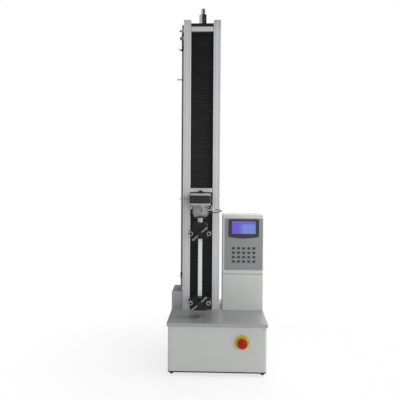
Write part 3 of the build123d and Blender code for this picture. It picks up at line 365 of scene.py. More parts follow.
@dataclass(frozen=True)
class ClothFinish:
    """Coated cloth with a fine weave and greyed folds."""

    slot: str
    colour: Colour
    faded: Colour
    threads: float = 1400.0
    waver: float = 0.6
    weave_strength: float = 0.6
    weave_depth: float = 0.12
    fade_scale: float = 45.0
    fade_range: Span = (0.45, 0.75)
    fade_share: float = 0.7
    gloss: Span = (0.55, 0.75)
    sheen: float = 0.1

    def material(self) -> bpy.types.Material:
        """Makes the cloth's material, its weave from two crossed waves.

        Returns:
            A procedural material named for the record's slot.
        """
        shader = Shader(self.slot)
        place = shader.place()
        waves = []
        for direction in ("X", "Z"):
            inputs = {"Vector": place, "Scale": self.threads / math.tau, "Distortion": self.waver}
            wave = shader.add("TexWave", inputs, wave_type="BANDS", bands_direction=direction)
            waves.append(wave.outputs["Fac"])
        weave = shader.math("MAXIMUM", *waves)
        noise = shader.noise(place, self.fade_scale, detail=5.0)
        fade = shader.ramp(noise, self.fade_range, (0.0, self.fade_share))
        colour = shader.mix(fade, linear(self.colour), linear(self.faded))
        inputs = {"Height": weave, "Strength": self.weave_strength, "Distance": self.weave_depth * MM}
        bump = shader.add("Bump", inputs).outputs["Normal"]
        roughness = shader.ramp(noise, NOISE_RANGE, self.gloss)
        shader.feed(Base_Color=colour, Roughness=roughness, Normal=bump, Sheen_Weight=self.sheen)
        return shader.material


@dataclass(frozen=True)
class DisplayFinish:
    """Lit display: a violet field, a paler blue pane at the lower right and a bright rim line.

    Ranges across and up are shares of the display's width and height.
    """

    slot: str
    field: Colour
    pane: Colour
    line: Colour
    low: Point
    size: Size
    glass: Linear = (0.02, 0.02, 0.05, 1.0)
    noise_scale: float = 90.0
    drift: float = 0.12
    pane_left: Span = (0.28, 0.52)
    pane_top: Span = (0.86, 0.66)
    rim_range: Span = (0.90, 0.93)
    rim_share: float = 0.55
    row_scale: float = 330.0
    row_share: float = 0.06
    glow: float = 0.85
    gloss: Span = (0.12, 0.18)
    coat: float = 0.3

    def material(self) -> bpy.types.Material:
        """Makes the display's material from its place on the panel.

        Returns:
            A procedural material named for the record's slot.
        """
        shader = Shader(self.slot)
        place = shader.place()
        scale = (self.size[0] * MM, 1.0, self.size[1] * MM)
        inputs = {
            "Vector": place,
            "Location": tuple(-c * MM / s for c, s in zip(self.low, scale)),
            "Scale": tuple(1 / s for s in scale),
        }
        mapped = shader.add("Mapping", inputs)
        parts = shader.add("SeparateXYZ", {0: mapped.outputs["Vector"]})
        across, up = parts.outputs["X"], parts.outputs["Z"]
        noise = shader.noise(place, self.noise_scale, detail=3.0)
        drift = shader.math("MULTIPLY", shader.math("SUBTRACT", noise, 0.5), self.drift)
        right = shader.ramp(shader.math("ADD", across, drift), self.pane_left)
        under = shader.ramp(shader.math("ADD", up, drift), self.pane_top)
        pane = shader.math("MULTIPLY", right, under)
        colour = shader.mix(pane, linear(self.field), linear(self.pane))
        top = shader.ramp(up, self.rim_range, (0.0, self.rim_share))
        colour = shader.mix(top, colour, linear(self.line))
        inputs = {"Vector": place, "Scale": self.row_scale}
        rows = shader.add("TexWave", inputs, bands_direction="Z").outputs["Fac"]
        colour = shader.mix(shader.math("MULTIPLY", rows, self.row_share), colour, linear(self.line))
        shader.feed(Base_Color=self.glass, Emission_Color=colour, Emission_Strength=self.glow)
        shader.feed(Roughness=shader.ramp(noise, NOISE_RANGE, self.gloss), Coat_Weight=self.coat)
        return shader.material


BLACK_OXIDE = Finish(
    "black_oxide", (30, 30, 31), metallic=0.6, roughness=0.42, mottle=0.12, mottle_scale=40.0,
    wear=0.55, wear_colour=(135, 135, 132),
)
TURNED_STEEL = Finish(
    "turned_steel", (168, 168, 166), metallic=1.0, roughness=0.22, spread=0.05, stretch=TURNED,
    grain_scale=1800.0, grain_depth=0.01, mottle=0.03,
)
FINISHES = (
    Finish(
        "light_grey_paint", (178, 180, 178), roughness=0.42, mottle=0.025, mottle_scale=5.0,
        grain_depth=0.06, wear=0.3,
    ),
    Finish(
        "table_grey", (152, 153, 153), metallic=0.3, roughness=0.42, mottle=0.05, mottle_scale=7.0,
        wear=0.5, coat=0.1,
    ),
    Finish(
        "dark_paint", (14, 14, 14), roughness=0.44, mottle=0.06, grain_depth=0.06, wear=0.35,
        wear_colour=(110, 110, 110),
    ),
    Finish(
        "profile_aluminium", (194, 195, 196), metallic=0.35, roughness=0.42, stretch=EXTRUDED,
        grain_scale=1600.0, grain_depth=0.03, mottle=0.035, mottle_scale=12.0,
    ),
    Finish(
        "cast_grey", (168, 169, 166), metallic=0.55, roughness=0.5, grain_scale=700.0, grain_depth=0.12,
        mottle=0.05,
    ),
    BLACK_OXIDE,
    replace(BLACK_OXIDE, slot="ground_foot", bare_below=251.0),
    Finish(
        "bright_steel", (174, 174, 172), metallic=1.0, roughness=0.24, spread=0.05, mottle=0.03,
        grain_depth=0.01,
    ),
    Finish(
        "ground_steel", (138, 138, 138), metallic=1.0, roughness=0.3, stretch=TURNED, grain_scale=1800.0,
        grain_depth=0.015, mottle=0.04,
    ),
    TURNED_STEEL,
    replace(TURNED_STEEL, slot="shaft_steel", colour=(192, 192, 190), roughness=0.36),
    Finish(
        "nickel_cell", (129, 130, 129), metallic=0.8, roughness=0.34, stretch=TURNED, grain_scale=1500.0,
        grain_depth=0.02, mottle=0.06, mottle_scale=22.0,
    ),
    Finish("bronze", (186, 142, 86), metallic=1.0, roughness=0.35),
    ClothFinish("bellows_cloth", (17, 17, 16), (31, 30, 29)),
    Finish("black_rubber", (26, 26, 26), roughness=0.75, grain_scale=500.0, grain_depth=0.1, mottle=0.08),
    Finish("motor_black", (42, 42, 44), roughness=0.5, grain_depth=0.08),
    Finish("yellow_plastic", (192, 168, 34), roughness=0.38, grain_depth=0.03, mottle=0.03, specular=0.3),
    Finish("red_plastic", (150, 22, 12), roughness=0.3, grain_depth=0.02, mottle=0.04, specular=0.2),
    Finish("black_plastic", (34, 34, 36), roughness=0.5, grain_scale=1100.0, grain_depth=0.06),
    Finish(
        "panel_grey", (122, 125, 126), roughness=0.5, grain_scale=1500.0, grain_depth=0.04, mottle=0.02,
    ),
    Finish("bezel_plastic", (42, 38, 48), roughness=0.32, grain_depth=0.03, mottle=0.05),
    DisplayFinish(
        "screen_blue", field=(98, 78, 205), pane=(112, 138, 216), line=(150, 140, 226),
        low=(62.0, 26.0, 556.0), size=(110.0, 60.0),
    ),
    Finish("key_rubber", (40, 44, 48), roughness=0.55, grain_depth=0.05),
    Finish(
        "strip_rubber", (201, 205, 204), roughness=0.6, grain_scale=600.0, grain_depth=0.05, mottle=0.03,
    ),
    Finish("lead_grey", (72, 71, 72), roughness=0.5, grain_depth=0.03, mottle=0.08),
)

# Nodes that look duller or brighter than the rest of their slot, two of them darkened as painted shade
RECOATED_AND_SHADED = {
    # painted shade: the lower adapter, the same part as the bright upper one, gets the darker nickel
    # finish
    "lower_grip_adapter": "nickel_cell",
    "limit_rod": "nickel_cell",
    "top_bearing_housing": "turned_steel",
    "ball_screw": "shaft_steel",
    # painted shade: the housing, painted like the body, gets the darker table grey for the shade left of
    # the column
    "limit_switch_housing": "table_grey",
    "lower_grip_body": "ground_foot",
}


class Paintbox:
    """Every finish's material, by slot."""

    def __init__(self, finishes: Sequence[Finish | ClothFinish | DisplayFinish]) -> None:
        """Makes the materials once."""
        self.materials = {finish.slot: finish.material() for finish in finishes}

    def coat(self, obj: Piece, slot: str) -> None:
        """Gives an object the material of one slot."""
        obj.data.materials.clear()
        obj.data.materials.append(self.materials[slot])

    def coat_nodes(self) -> None:
        """Gives every node of the frame the finish that the record names, or the one it is recoated in,
        which for two nodes is a darker painted shade.
        """
        for subpart in frame["record"]["subparts"]:
            name = subpart["node"]
            slot = RECOATED_AND_SHADED.get(name, subpart["material_slot"])
            for place in frame["nodes"][name].material_slots:
                place.material = self.materials[slot]
        log.info("coated %d nodes", len(frame["nodes"]))


def deselect() -> None:
    """Leaves nothing selected."""
    for obj in bpy.context.selected_objects:
        obj.select_set(False)


def hold(obj: Piece) -> Piece:
    """Selects one object alone and makes it active.

    Args:
        obj: the object.

    Returns:
        The same object.
    """
    deselect()
    obj.select_set(True)
    bpy.context.view_layer.objects.active = obj
    return obj


@contextmanager
def editing(obj: Piece, pick: Pick) -> Iterator[None]:
    """Opens an object in edit mode with nothing selected, and closes it again.

    Args:
        obj: the object.
        pick: what a selection picks.

    Yields:
        Nothing, while the object is open.
    """
    hold(obj)
    bpy.ops.object.mode_set(mode="EDIT")
    bpy.ops.mesh.select_mode(type=pick.name)
    bpy.ops.mesh.select_all(action="DESELECT")
    try:
        yield
    finally:
        bpy.ops.object.mode_set(mode="OBJECT")


def choose(obj: Piece, pick: Pick, test: Callable[..., bool]) -> None:
    """Selects the elements of an object in edit mode that pass a test, and no others.

    Args:
        obj: the open object.
        pick: which elements are tested.
        test: says of an element whether it is picked.
    """
    mesh = bmesh.from_edit_mesh(obj.data)
    bpy.ops.mesh.select_all(action="DESELECT")
    for element in getattr(mesh, pick.value):
        if test(element):
            element.select_set(True)
    mesh.select_flush_mode()
    bmesh.update_edit_mesh(obj.data)


def facing(axis: Axis) -> Callable[[bmesh.types.BMFace], bool]:
    """Test for the faces that look along an axis."""
    way = axis.way()
    return lambda face: face.normal.dot(way) > ALONG


def extrude(offset: Sequence[float]) -> None:
    """Extrudes the selected faces by an offset in millimetres."""
    bpy.ops.mesh.extrude_region_move(TRANSFORM_OT_translate={"value": tuple(c * MM for c in offset)})


def recess(obj: Piece, axis: Axis, rim: float, depth: float) -> None:
    """Sinks the faces that look along an axis, inside a rim that stays.

    Args:
        obj: the piece.
        axis: the way that the faces look.
        rim: width of the rim, in millimetres.
        depth: how deep the middle sinks, or below zero how far it rises.
    """
    with editing(obj, Pick.FACE):
        choose(obj, Pick.FACE, facing(axis))
        bpy.ops.mesh.inset(thickness=rim * MM)
        extrude(axis.way() * -depth)


def named(name: str) -> Piece:
    """Names the primitive that was just added, with its place and size put in its mesh.

    Args:
        name: the name.

    Returns:
        The named object.
    """
    obj = hold(bpy.context.active_object)
    obj.name = name
    obj.data.name = name
    bpy.ops.object.transform_apply(location=True, rotation=True, scale=True)
    return obj


def cylinder(
    name: str, radius: float, depth: float, place: Point = (0.0, 0.0, 0.0),
    vertices: int = 32, tilt: float = 0.0,
) -> Piece:
    """Adds a cylinder to be shaped.

    Args:
        name: the piece's name.
        radius: its radius in millimetres, as the other lengths.
        depth: its length.
        place: its middle.
        vertices: number of its sides.
        tilt: turn about the X axis, in radians.

    Returns:
        The cylinder.
    """
    bpy.ops.mesh.primitive_cylinder_add(
        vertices=vertices, radius=radius * MM, depth=depth * MM, rotation=(tilt, 0, 0),
        location=tuple(c * MM for c in place),
    )
    return named(name)


def block(name: str, low: Sequence[float], high: Sequence[float], tilt: float = 0.0) -> Piece:
    """Adds a block to be shaped.

    Args:
        name: the piece's name.
        low: its lowest corner in millimetres.
        high: its highest corner.
        tilt: turn about the X axis through its middle, in radians.

    Returns:
        The block.
    """
    start, end = Vector(low), Vector(high)
    bpy.ops.mesh.primitive_cube_add(size=1.0, location=(start + end) / 2 * MM, rotation=(tilt, 0, 0))
    bpy.context.active_object.scale = (end - start) * MM
    return named(name)


def upright_grid(name: str, cuts: tuple[int, int], width: float, heights: Span, depth: float) -> Piece:
    """Adds a grid that stands upright in the middle of the column.

    Args:
        name: the piece's name.
        cuts: number of its columns and rows.
        width: its width in millimetres.
        heights: its lower and upper end.
        depth: its place along Y.

    Returns:
        The grid.
    """
    low, high = heights
    bpy.ops.mesh.primitive_grid_add(
        x_subdivisions=cuts[0], y_subdivisions=cuts[1], size=1.0, rotation=(QUARTER, 0, 0),
        location=(COLUMN_X * MM, depth * MM, (low + high) / 2 * MM),
    )
    bpy.context.active_object.scale = (width * MM, (high - low) * MM, 1.0)
    return named(name)


def modify(obj: Piece, kind: str, **settings: object) -> None:
    """Adds a modifier and applies it.

    Args:
        obj: the piece.
        kind: the modifier's type.
        settings: attributes of the modifier.
    """
    hold(obj)
    modifier = obj.modifiers.new(kind, kind)
    for name, value in settings.items():
        setattr(modifier, name, value)
    bpy.ops.object.modifier_apply(modifier=modifier.name)


def soften(obj: Piece, width: float, segments: int = 2, angle: float = 40.0) -> None:
    """Rounds the sharp edges and shades the rest smooth.

    Args:
        obj: the piece.
        width: width of the rounding in millimetres, or zero for none.
        segments: steps of the rounding.
        angle: least angle of a sharp edge, in degrees.
    """
    sharp = math.radians(angle)
    if width:
        modify(obj, "BEVEL", width=width * MM, segments=segments, limit_method="ANGLE", angle_limit=sharp)
    hold(obj)
    bpy.ops.object.shade_smooth_by_angle(angle=sharp)


def copies(model: Piece, name: str, places: Sequence[Place]) -> Piece:
    """Copies a model to each place, joins the copies and removes the model.

    Args:
        model: piece at the origin that points up.
        name: name of the joined piece.
        places: point in millimetres and direction of each copy.

    Returns:
        The joined piece.
    """
    made = []
    for point, axis in places:
        copy = model.copy()
        copy.data = model.data.copy()
        copy.data.transform(Matrix.Translation(Vector(point) * MM) @ axis.value)
        bpy.context.scene.collection.objects.link(copy)
        made.append(copy)
    bpy.data.objects.remove(model)
    hold(made[0])
    for copy in made:
        copy.select_set(True)
    if len(made) > 1:
        bpy.ops.object.join()
    return named(name)


@dataclass
class Assembly:
    """Sub-assembly whose pieces are dressed from one set of materials."""

    paints: Paintbox

    def dress(
        self, obj: Piece, slot: str, body: Optional[str] = None, stands_for: Sequence[str] = ()
    ) -> None:
        """Finishes a piece: its material from a slot, its body and the nodes that it stands for.

        Args:
            obj: the finished mesh or curve.
            slot: the record's material slot.
            body: body that it rides on, or None to leave it unattached.
            stands_for: nodes that it replaces.
        """
        self.paints.coat(obj, slot)
        if stands_for:
            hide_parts(*stands_for)
        if body:
            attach(obj, body)
        log.info("piece %s on %s", obj.name, body or "two bodies")


@dataclass
class Bellows(Assembly):
    """Pleated cloth cover of the screw, one end on the crosshead."""

    node: str
    low: float
    high: float
    lower_body: str
    upper_body: str
    held_by: Sequence[str]
    pitch: float = 10.0
    width: float = 98.0
    columns: int = 8
    front: float = 31.5
    depth: float = 18.0
    cloth: float = 0.9
    fold_round: float = 1.1
    sink: float = 0.9
    sway: float = 0.5
    level: float = 0.2
    smooth: float = 50.0
    seed: int = 7

    @property
    def rows(self) -> int:
        """Number of panels between the folds."""
        return 2 * max(1, round((self.high - self.low) / self.pitch))

    @property
    def step(self) -> float:
        """Height of one panel."""
        return (self.high - self.low) / self.rows

    def row_of(self, vert: bmesh.types.BMVert) -> int:
        """Number of a point's fold, counted from the lower end."""
        return round((vert.co.z / MM - self.low) / self.step)

    def is_fold(self, edge: bmesh.types.BMEdge) -> bool:
        """Whether an edge runs level inside the cloth."""
        rise = abs(edge.verts[0].co.z - edge.verts[1].co.z)
        return rise < self.level * MM and not edge.is_boundary

    def build(self) -> None:
        """Folds a flat grid into pleats, rounds the folds and gives it its thickness."""
        cuts = (self.columns, self.rows)
        back = self.front + self.depth
        cloth = upright_grid(self.node + "_cloth", cuts, self.width, (self.low, self.high), back)
        draw = random.Random(self.seed)
        with editing(cloth, Pick.VERT):
            choose(cloth, Pick.VERT, lambda vert: self.row_of(vert) % 2 == 1)
            bpy.ops.transform.translate(value=(0, -self.depth * MM, 0))
            for row in range(2, self.rows - 1):
                choose(cloth, Pick.VERT, lambda vert: self.row_of(vert) == row)
                inward = draw.uniform(0, self.sink)
                upward = draw.uniform(-self.sway, self.sway)
                bpy.ops.transform.translate(value=(0, inward * MM, upward * MM))
        with editing(cloth, Pick.EDGE):
            choose(cloth, Pick.EDGE, self.is_fold)
            bpy.ops.mesh.bevel(offset=self.fold_round * MM, segments=2, affect="EDGES")
        modify(cloth, "SOLIDIFY", thickness=self.cloth * MM, offset=-1.0)
        soften(cloth, 0.0, angle=self.smooth)
        self.dress(cloth, "bellows_cloth", stands_for=[self.node])
        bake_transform(cloth)


@dataclass
class TestStrip(Assembly):
    """Elastic strip that is held in both grips."""

    low: float = 262.0
    high: float = 593.0
    width: float = 17.0
    cuts: tuple[int, int] = (4, 64)
    thickness: float = 2.0
    edge: float = 0.35
    smooth: float = 60.0
    hold_low: float = 272.0
    hold_high: float = 583.0

    def build(self) -> None:
        """Stands a fine grid upright, thickens it and eases its edges."""
        strip = upright_grid("elastic_strip", self.cuts, self.width, (self.low, self.high), LOAD_Y)
        modify(strip, "SOLIDIFY", thickness=self.thickness * MM, offset=0.0)
        soften(strip, self.edge, angle=self.smooth)
        self.dress(strip, "strip_rubber", stands_for=["test_strip"])
        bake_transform(strip)


@dataclass
class CellLead(Assembly):
    """Limp lead that loops from the gland under the arm to the plug in the load cell."""

    gland: Point = (-55.0, -50.0, 681.0)
    plug: Point = (-11.0, -103.0, 670.0)
    diameter: float = 4.0
    length: float = 144.0

    def route(self) -> list[Point]:
        """Points of the lead.

        Returns:
            The points in millimetres, from the gland to the plug.
        """
        x, y, z = self.gland
        end_x, load_y, plug_z = self.plug
        return [
            (x, y, z),
            (x, y, z - 23.5),
            (x + 24.5, y, z - 27.5),
            (x + 49, y, z - 25.5),
            (end_x + 30, load_y + 23.5, plug_z - 6.5),
            (end_x + 18, load_y, plug_z),
            (end_x, load_y, plug_z),
        ]

    def build(self) -> None:
        curve = bpy.data.curves.new("cell_lead_cord", "CURVE")
        curve.dimensions = "3D"
        curve.bevel_depth = self.diameter / 2 * MM
        curve.bevel_resolution = 4
        curve.resolution_u = 16
        spline = curve.splines.new("NURBS")
        points = self.route()
        spline.points.add(len(points) - 1)
        for point, place in zip(spline.points, points):
            point.co = (place[0] * MM, place[1] * MM, place[2] * MM, 1.0)
        spline.order_u = 3
        spline.use_endpoint_u = True
        cord = bpy.data.objects.new("cell_lead_cord", curve)
        bpy.context.scene.collection.objects.link(cord)
        self.dress(cord, "lead_grey", body="crosshead", stands_for=["cell_lead"])


@dataclass(frozen=True)
class SocketScrew:
    """Socket-head screw that points up, its seat at zero height; shares are of the head's own sizes."""

    radius: float
    height: float
    socket: float
    rim_share: float = 0.12
    lip_share: float = 0.04
    round_share: float = 0.08
    cutter_share: float = 1.2

    def model(self) -> Piece:
        """Turns the head, rounds its rim and cuts the six-sided socket.

        Returns:
            The screw at the origin.
        """
        head = cylinder("screw_head", self.radius, self.height, (0.0, 0.0, self.height / 2), vertices=28)
        with editing(head, Pick.FACE):
            choose(head, Pick.FACE, facing(Axis.UP))
            bpy.ops.mesh.inset(thickness=self.rim_share * self.radius * MM)
            bpy.ops.mesh.inset(thickness=self.lip_share * self.radius * MM)
        depth = self.height * self.cutter_share
        cutter = cylinder("screw_socket", self.socket, depth, (0.0, 0.0, self.height), vertices=6)
        modify(head, "BOOLEAN", object=cutter, operation="DIFFERENCE", solver="EXACT")
        bpy.data.objects.remove(cutter)
        soften(head, self.round_share * self.radius)
        return head


@dataclass
class Fasteners(Assembly):
    """Screws that hold the covers, plates and bars."""

    small: SocketScrew = SocketScrew(radius=3.5, height=3.2, socket=1.8)
    flat: SocketScrew = SocketScrew(radius=6.0, height=1.6, socket=2.9)
    tall: SocketScrew = SocketScrew(radius=7.0, height=9.0, socket=3.4)
    housing: Point = (COLUMN_X, 122.0, 1501.0)
    housing_circle: float = 24.0
    cover_side: float = 200.0
    cover_back: float = 235.0
    cover_height: float = 32.0
    cover_depths: tuple[float, ...] = (-160.0, 15.0, 190.0)
    cover_widths: tuple[float, ...] = (-150.0, 0.0, 150.0)
    column_back: float = 167.0
    column_edges: Span = (-115.0, -33.0)
    column_heights: range = range(280, 1481, 240)
    cabinet_back: float = 187.0
    cabinet_edges: Span = (36.0, 190.0)
    cabinet_heights: tuple[float, ...] = (232.0, 358.0, 400.0, 628.0)
    arm_top: float = 738.0
    arm_edges: Span = (-100.0, -48.0)
    arm_depths: Span = (-125.0, -81.0)
    column_top: float = 1495.0
    top_edges: Span = (-112.0, -36.0)
    top_depth: float = 40.0
    root: Point = (-77.0, 19.0, 742.0)

    def build(self) -> None:
        """Copies the screw models to every place where the real machine has them."""
        arm = [((x, y, self.arm_top), Axis.UP) for x in self.arm_edges for y in self.arm_depths]
        top = [((x, self.top_depth, self.column_top), Axis.UP) for x in self.top_edges]
        column = self.back_places(self.column_back, self.column_edges, self.column_heights)
        cabinet = self.back_places(self.cabinet_back, self.cabinet_edges, self.cabinet_heights)
        groups: list[tuple[str, str, str, SocketScrew, list[Place]]] = [
            ("housing_screws", "frame", "bright_steel", self.small, self.housing_places()),
            ("cover_screws", "frame", "bright_steel", self.small, self.cover_places()),
            ("column_cover_screws", "frame", "bright_steel", self.small, column),
            ("cabinet_screws", "frame", "bright_steel", self.small, cabinet),
            ("arm_screws", "crosshead", "bright_steel", self.flat, arm),
            ("top_plate_screws", "frame", "black_oxide", self.flat, top),
            ("root_screw", "crosshead", "black_oxide", self.tall, [(self.root, Axis.UP)]),
        ]
        for name, body, slot, screw, places in groups:
            self.dress(copies(screw.model(), name, places), slot, body)

    def housing_places(self) -> list[Place]:
        """Places round the top bearing housing, on the diagonals.

        Returns:
            Four places.
        """
        x, y, z = self.housing
        reach = self.housing_circle
        turns = [QUARTER / 2 + i * QUARTER for i in range(4)]
        return [((x + reach * math.cos(t), y + reach * math.sin(t), z), Axis.UP) for t in turns]

    def cover_places(self) -> list[Place]:
        """Places low on the sides and the back of the base cover.

        Returns:
            Three places on each of the three.
        """
        places: list[Place] = []
        for x, axis in ((-self.cover_side, Axis.LEFT), (self.cover_side, Axis.RIGHT)):
            places += [((x, y, self.cover_height), axis) for y in self.cover_depths]
        places += [((x, self.cover_back, self.cover_height), Axis.BACK) for x in self.cover_widths]
        return places

    def back_places(self, y: float, edges: Span, heights: Sequence[float]) -> list[Place]:
        """Places down both edges of a back cover."""
        return [((x, y, z), Axis.BACK) for x in edges for z in heights]


@dataclass
class LimitDevice(Assembly):
    """Small parts on the limit rod, its guides and its collars."""

    sleeve_radius: float = 5.3
    sleeves: tuple[tuple[str, Span, str], ...] = (
        ("spring_sleeve", (1449.5, 1461.5), "rod"),
        ("middle_sleeve", (1414.5, 1429.5), "rod"),
        ("lower_sleeve", (1390.0, 1409.5), "rod"),
        ("collar_sleeve", (360.5, 375.0), "lower_stop"),
    )
    sleeve_edge: float = 0.3
    rib: float = 3.6
    groove_edge: float = 0.25
    groove_depth: float = 0.7
    clamp_low: Point = (-177.0, 63.5, 1430.0)
    clamp_high: Point = (-158.5, 76.5, 1449.0)
    clamp_taper: tuple[float, float, float] = (1.0, 0.8, 0.6)
    clamp_rim: float = 3.0
    clamp_recess: float = 1.6
    clamp_edge: float = 0.8
    lever_low: Point = (-171.0, 65.0, 1382.5)
    lever_high: Point = (-159.0, 75.0, 1389.5)
    lever_runs: tuple[Point, Point] = ((-6.0, 0.0, 3.0), (-5.0, 0.0, 3.5))
    lever_rim: float = 1.6
    lever_edge: float = 0.5
    knob_radius: float = 4.0
    knob_depth: float = 5.0
    knob_reach: float = 21.0
    knob_edge: float = 0.25
    knurl_edge: float = 0.22
    knurl_depth: float = 0.35
    upper_collar: float = 1254.0
    lower_collar: float = 354.0
    guide_face: float = -171.0
    guides: tuple[tuple[str, float], ...] = (("upper", 1473.0), ("lower", 302.0))

    def build(self) -> None:
        """Makes the ribbed sleeves, the clamp, the lever and the thumb knobs."""
        for name, span, body in self.sleeves:
            self.sleeve(name, span, body)
        self.clamp()
        self.lever()
        left = ((ROD_X - self.knob_reach, ROD_Y, self.upper_collar), Axis.LEFT)
        self.knob("upper_collar_knob", left, "ground_steel", "upper_stop")
        back = ((ROD_X, ROD_Y + self.knob_reach, self.lower_collar), Axis.BACK)
        self.knob("lower_collar_knob", back, "ground_steel", "lower_stop")
        for side, z in self.guides:
            left = ((self.guide_face - self.knob_depth, ROD_Y, z), Axis.LEFT)
            self.knob(side + "_guide_knob", left, "black_oxide", "frame", neck=self.knob_depth)

    def sleeve(self, name: str, span: Span, body: str) -> None:
        """Turns a black sleeve round the rod and cuts its grooves.

        Args:
            name: the sleeve's name.
            span: heights of its lower and upper end.
            body: body that it rides on.
        """
        low, high = span
        sleeve = cylinder(name, self.sleeve_radius, high - low, (ROD_X, ROD_Y, (low + high) / 2))
        ribs = 2 * max(1, round((high - low) / self.rib / 2)) + 1
        step = (high - low) / ribs

        def in_groove(face: bmesh.types.BMFace) -> bool:
            """Whether a face of the outside lies in one of every second band."""
            band = int((face.calc_center_median().z / MM - low) / step)
            return abs(face.normal.z) < ACROSS and band % 2 == 1

        with editing(sleeve, Pick.FACE):
            for cut in range(1, ribs):
                bpy.ops.mesh.select_all(action="SELECT")
                bpy.ops.mesh.bisect(plane_co=(0, 0, (low + cut * step) * MM), plane_no=(0, 0, 1))
            choose(sleeve, Pick.FACE, in_groove)
            bpy.ops.mesh.inset(thickness=self.groove_edge * MM, depth=-self.groove_depth * MM)
        soften(sleeve, self.sleeve_edge)
        self.dress(sleeve, "black_rubber", body)

    def clamp(self) -> None:
        """Shapes the clamp that is fast on the rod between its two sleeves."""
        clamp = block("rod_clamp", self.clamp_low, self.clamp_high)
        with editing(clamp, Pick.FACE):
            choose(clamp, Pick.FACE, facing(Axis.LEFT))
            bpy.ops.transform.resize(value=self.clamp_taper)
        recess(clamp, Axis.FRONT, self.clamp_rim, self.clamp_recess)
        soften(clamp, self.clamp_edge, segments=3)
        self.dress(clamp, "ground_steel", "rod")

    def lever(self) -> None:
        """Cuts a small bent lever clamped on the rod below its ring."""
        lever = block("rod_lever", self.lever_low, self.lever_high)
        with editing(lever, Pick.FACE):
            choose(lever, Pick.FACE, facing(Axis.LEFT))
            bpy.ops.mesh.inset(thickness=self.lever_rim * MM)
            for run in self.lever_runs:
                extrude(run)
        soften(lever, self.lever_edge)
        self.dress(lever, "black_oxide", "rod")

    def on_rim(self, face: bmesh.types.BMFace) -> bool:
        """Whether a face of an upright knob is on its outside and not on its neck."""
        reach = face.calc_center_median().to_2d().length
        return abs(face.normal.z) < ACROSS and reach > ALONG * self.knob_radius * MM

    def knob(self, name: str, place: Place, slot: str, body: str, neck: float = 0.0) -> None:
        """Knurls a thumb knob, with a neck of its own where no screw of the solids carries it.

        Args:
            name: the knob's name.
            place: its middle and the way it points.
            slot: the record's material slot.
            body: body that it rides on.
            neck: distance from its middle to its seat, or zero for no neck.
        """
        model = cylinder("knob", self.knob_radius, self.knob_depth, vertices=24)
        if neck:
            recess(model, Axis.DOWN, rim=self.knob_radius / 2, depth=self.knob_depth / 2 - neck)
        with editing(model, Pick.FACE):
            choose(model, Pick.FACE, self.on_rim)
            edge, depth = self.knurl_edge * MM, self.knurl_depth * MM
            bpy.ops.mesh.inset(thickness=edge, depth=-depth, use_individual=True)
        soften(model, self.knob_edge)
        self.dress(copies(model, name, [place]), slot, body)


@dataclass
class CellCap(Assembly):
    """Bright ring with a dark plug on the front of the load cell."""

    x: float = -71.5
    z: float = 670.0
    outer: float = 13.4
    inner: float = 9.6
    back: float = -131.0
    front: float = -140.5
    hollow: float = 2.6
    ring_edge: float = 0.6
    plug_gap: float = 0.4
    plug_depth: float = 2.0
    plug_inset: float = 1.9
    plug_edge: float = 0.3
    dimple_rim: float = 4.4
    dimple_depth: float = 1.0

    def build(self) -> None:
        """Turns the ring and the plug inside it."""
        place = (self.x, (self.back + self.front) / 2, self.z)
        depth = self.back - self.front
        ring = cylinder("cell_cap_ring", self.outer, depth, place, vertices=48, tilt=QUARTER)
        recess(ring, Axis.FRONT, self.outer - self.inner, self.hollow)
        soften(ring, self.ring_edge, segments=3)
        self.dress(ring, "bright_steel", "crosshead")
        place = (self.x, self.front + self.plug_inset, self.z)
        radius = self.inner - self.plug_gap
        plug = cylinder("cell_cap_plug", radius, self.plug_depth, place, vertices=40, tilt=QUARTER)
        recess(plug, Axis.FRONT, self.dimple_rim, self.dimple_depth)
        soften(plug, self.plug_edge)
        self.dress(plug, "ground_steel", "crosshead")


@dataclass
class GripSocketShades(Assembly):
    """Dark discs over the sockets of the guide pins' heads, painted shade standing in for the dark hollows
    of the sockets.
    """

    face: float = -149.0
    spacing: float = 37.0
    radius: float = 6.0
    depth: float = 2.0
    dish_rim: float = 1.3
    dish_depth: float = 0.8
    edge: float = 0.25
    grips: tuple[tuple[str, str, float], ...] = (("upper", "crosshead", 572.0), ("lower", "frame", 283.0))

    def build(self) -> None:
        """Turns a dished disc of painted shade and copies it to each pin head."""
        for side, body, z in self.grips:
            # painted shade: a black disc over each socket, for the shade inside it
            shade_disc = cylinder("pin_cap", self.radius, self.depth, vertices=36)
            recess(shade_disc, Axis.UP, self.dish_rim, self.dish_depth)
            soften(shade_disc, self.edge)
            places = [((COLUMN_X + x, self.face, z), Axis.FRONT) for x in (-self.spacing, self.spacing)]
            self.dress(copies(shade_disc, side + "_pin_caps", places), "black_oxide", body)


@dataclass
class RootShadePad(Assembly):
    """Black pad on the slope behind the crosshead's cover, painted shade for the dark gap between the bar
    and the arm.
    """

    half_width: float = 40.5
    slope: tuple[Point, Point] = ((0.0, -6.0, 738.2), (0.0, 28.0, 743.1))
    thickness: float = 1.0
    edge: float = 0.3

    def build(self) -> None:
        """Tilts a plate to the slope and rounds its edges."""
        start, end = (Vector(p) for p in self.slope)
        run = end - start
        tilt = math.atan2(run.z, run.y)
        middle = (start + end) / 2 + Vector((COLUMN_X, 0, self.thickness / 2))
        half = Vector((self.half_width, run.length / 2, self.thickness / 2))
        # painted shade: a black plate on the lit slope, for the shade of the gap above the arm
        shade_pad = block("root_pad", middle - half, middle + half, tilt)
        soften(shade_pad, self.edge)
        self.dress(shade_pad, "black_rubber", "crosshead")


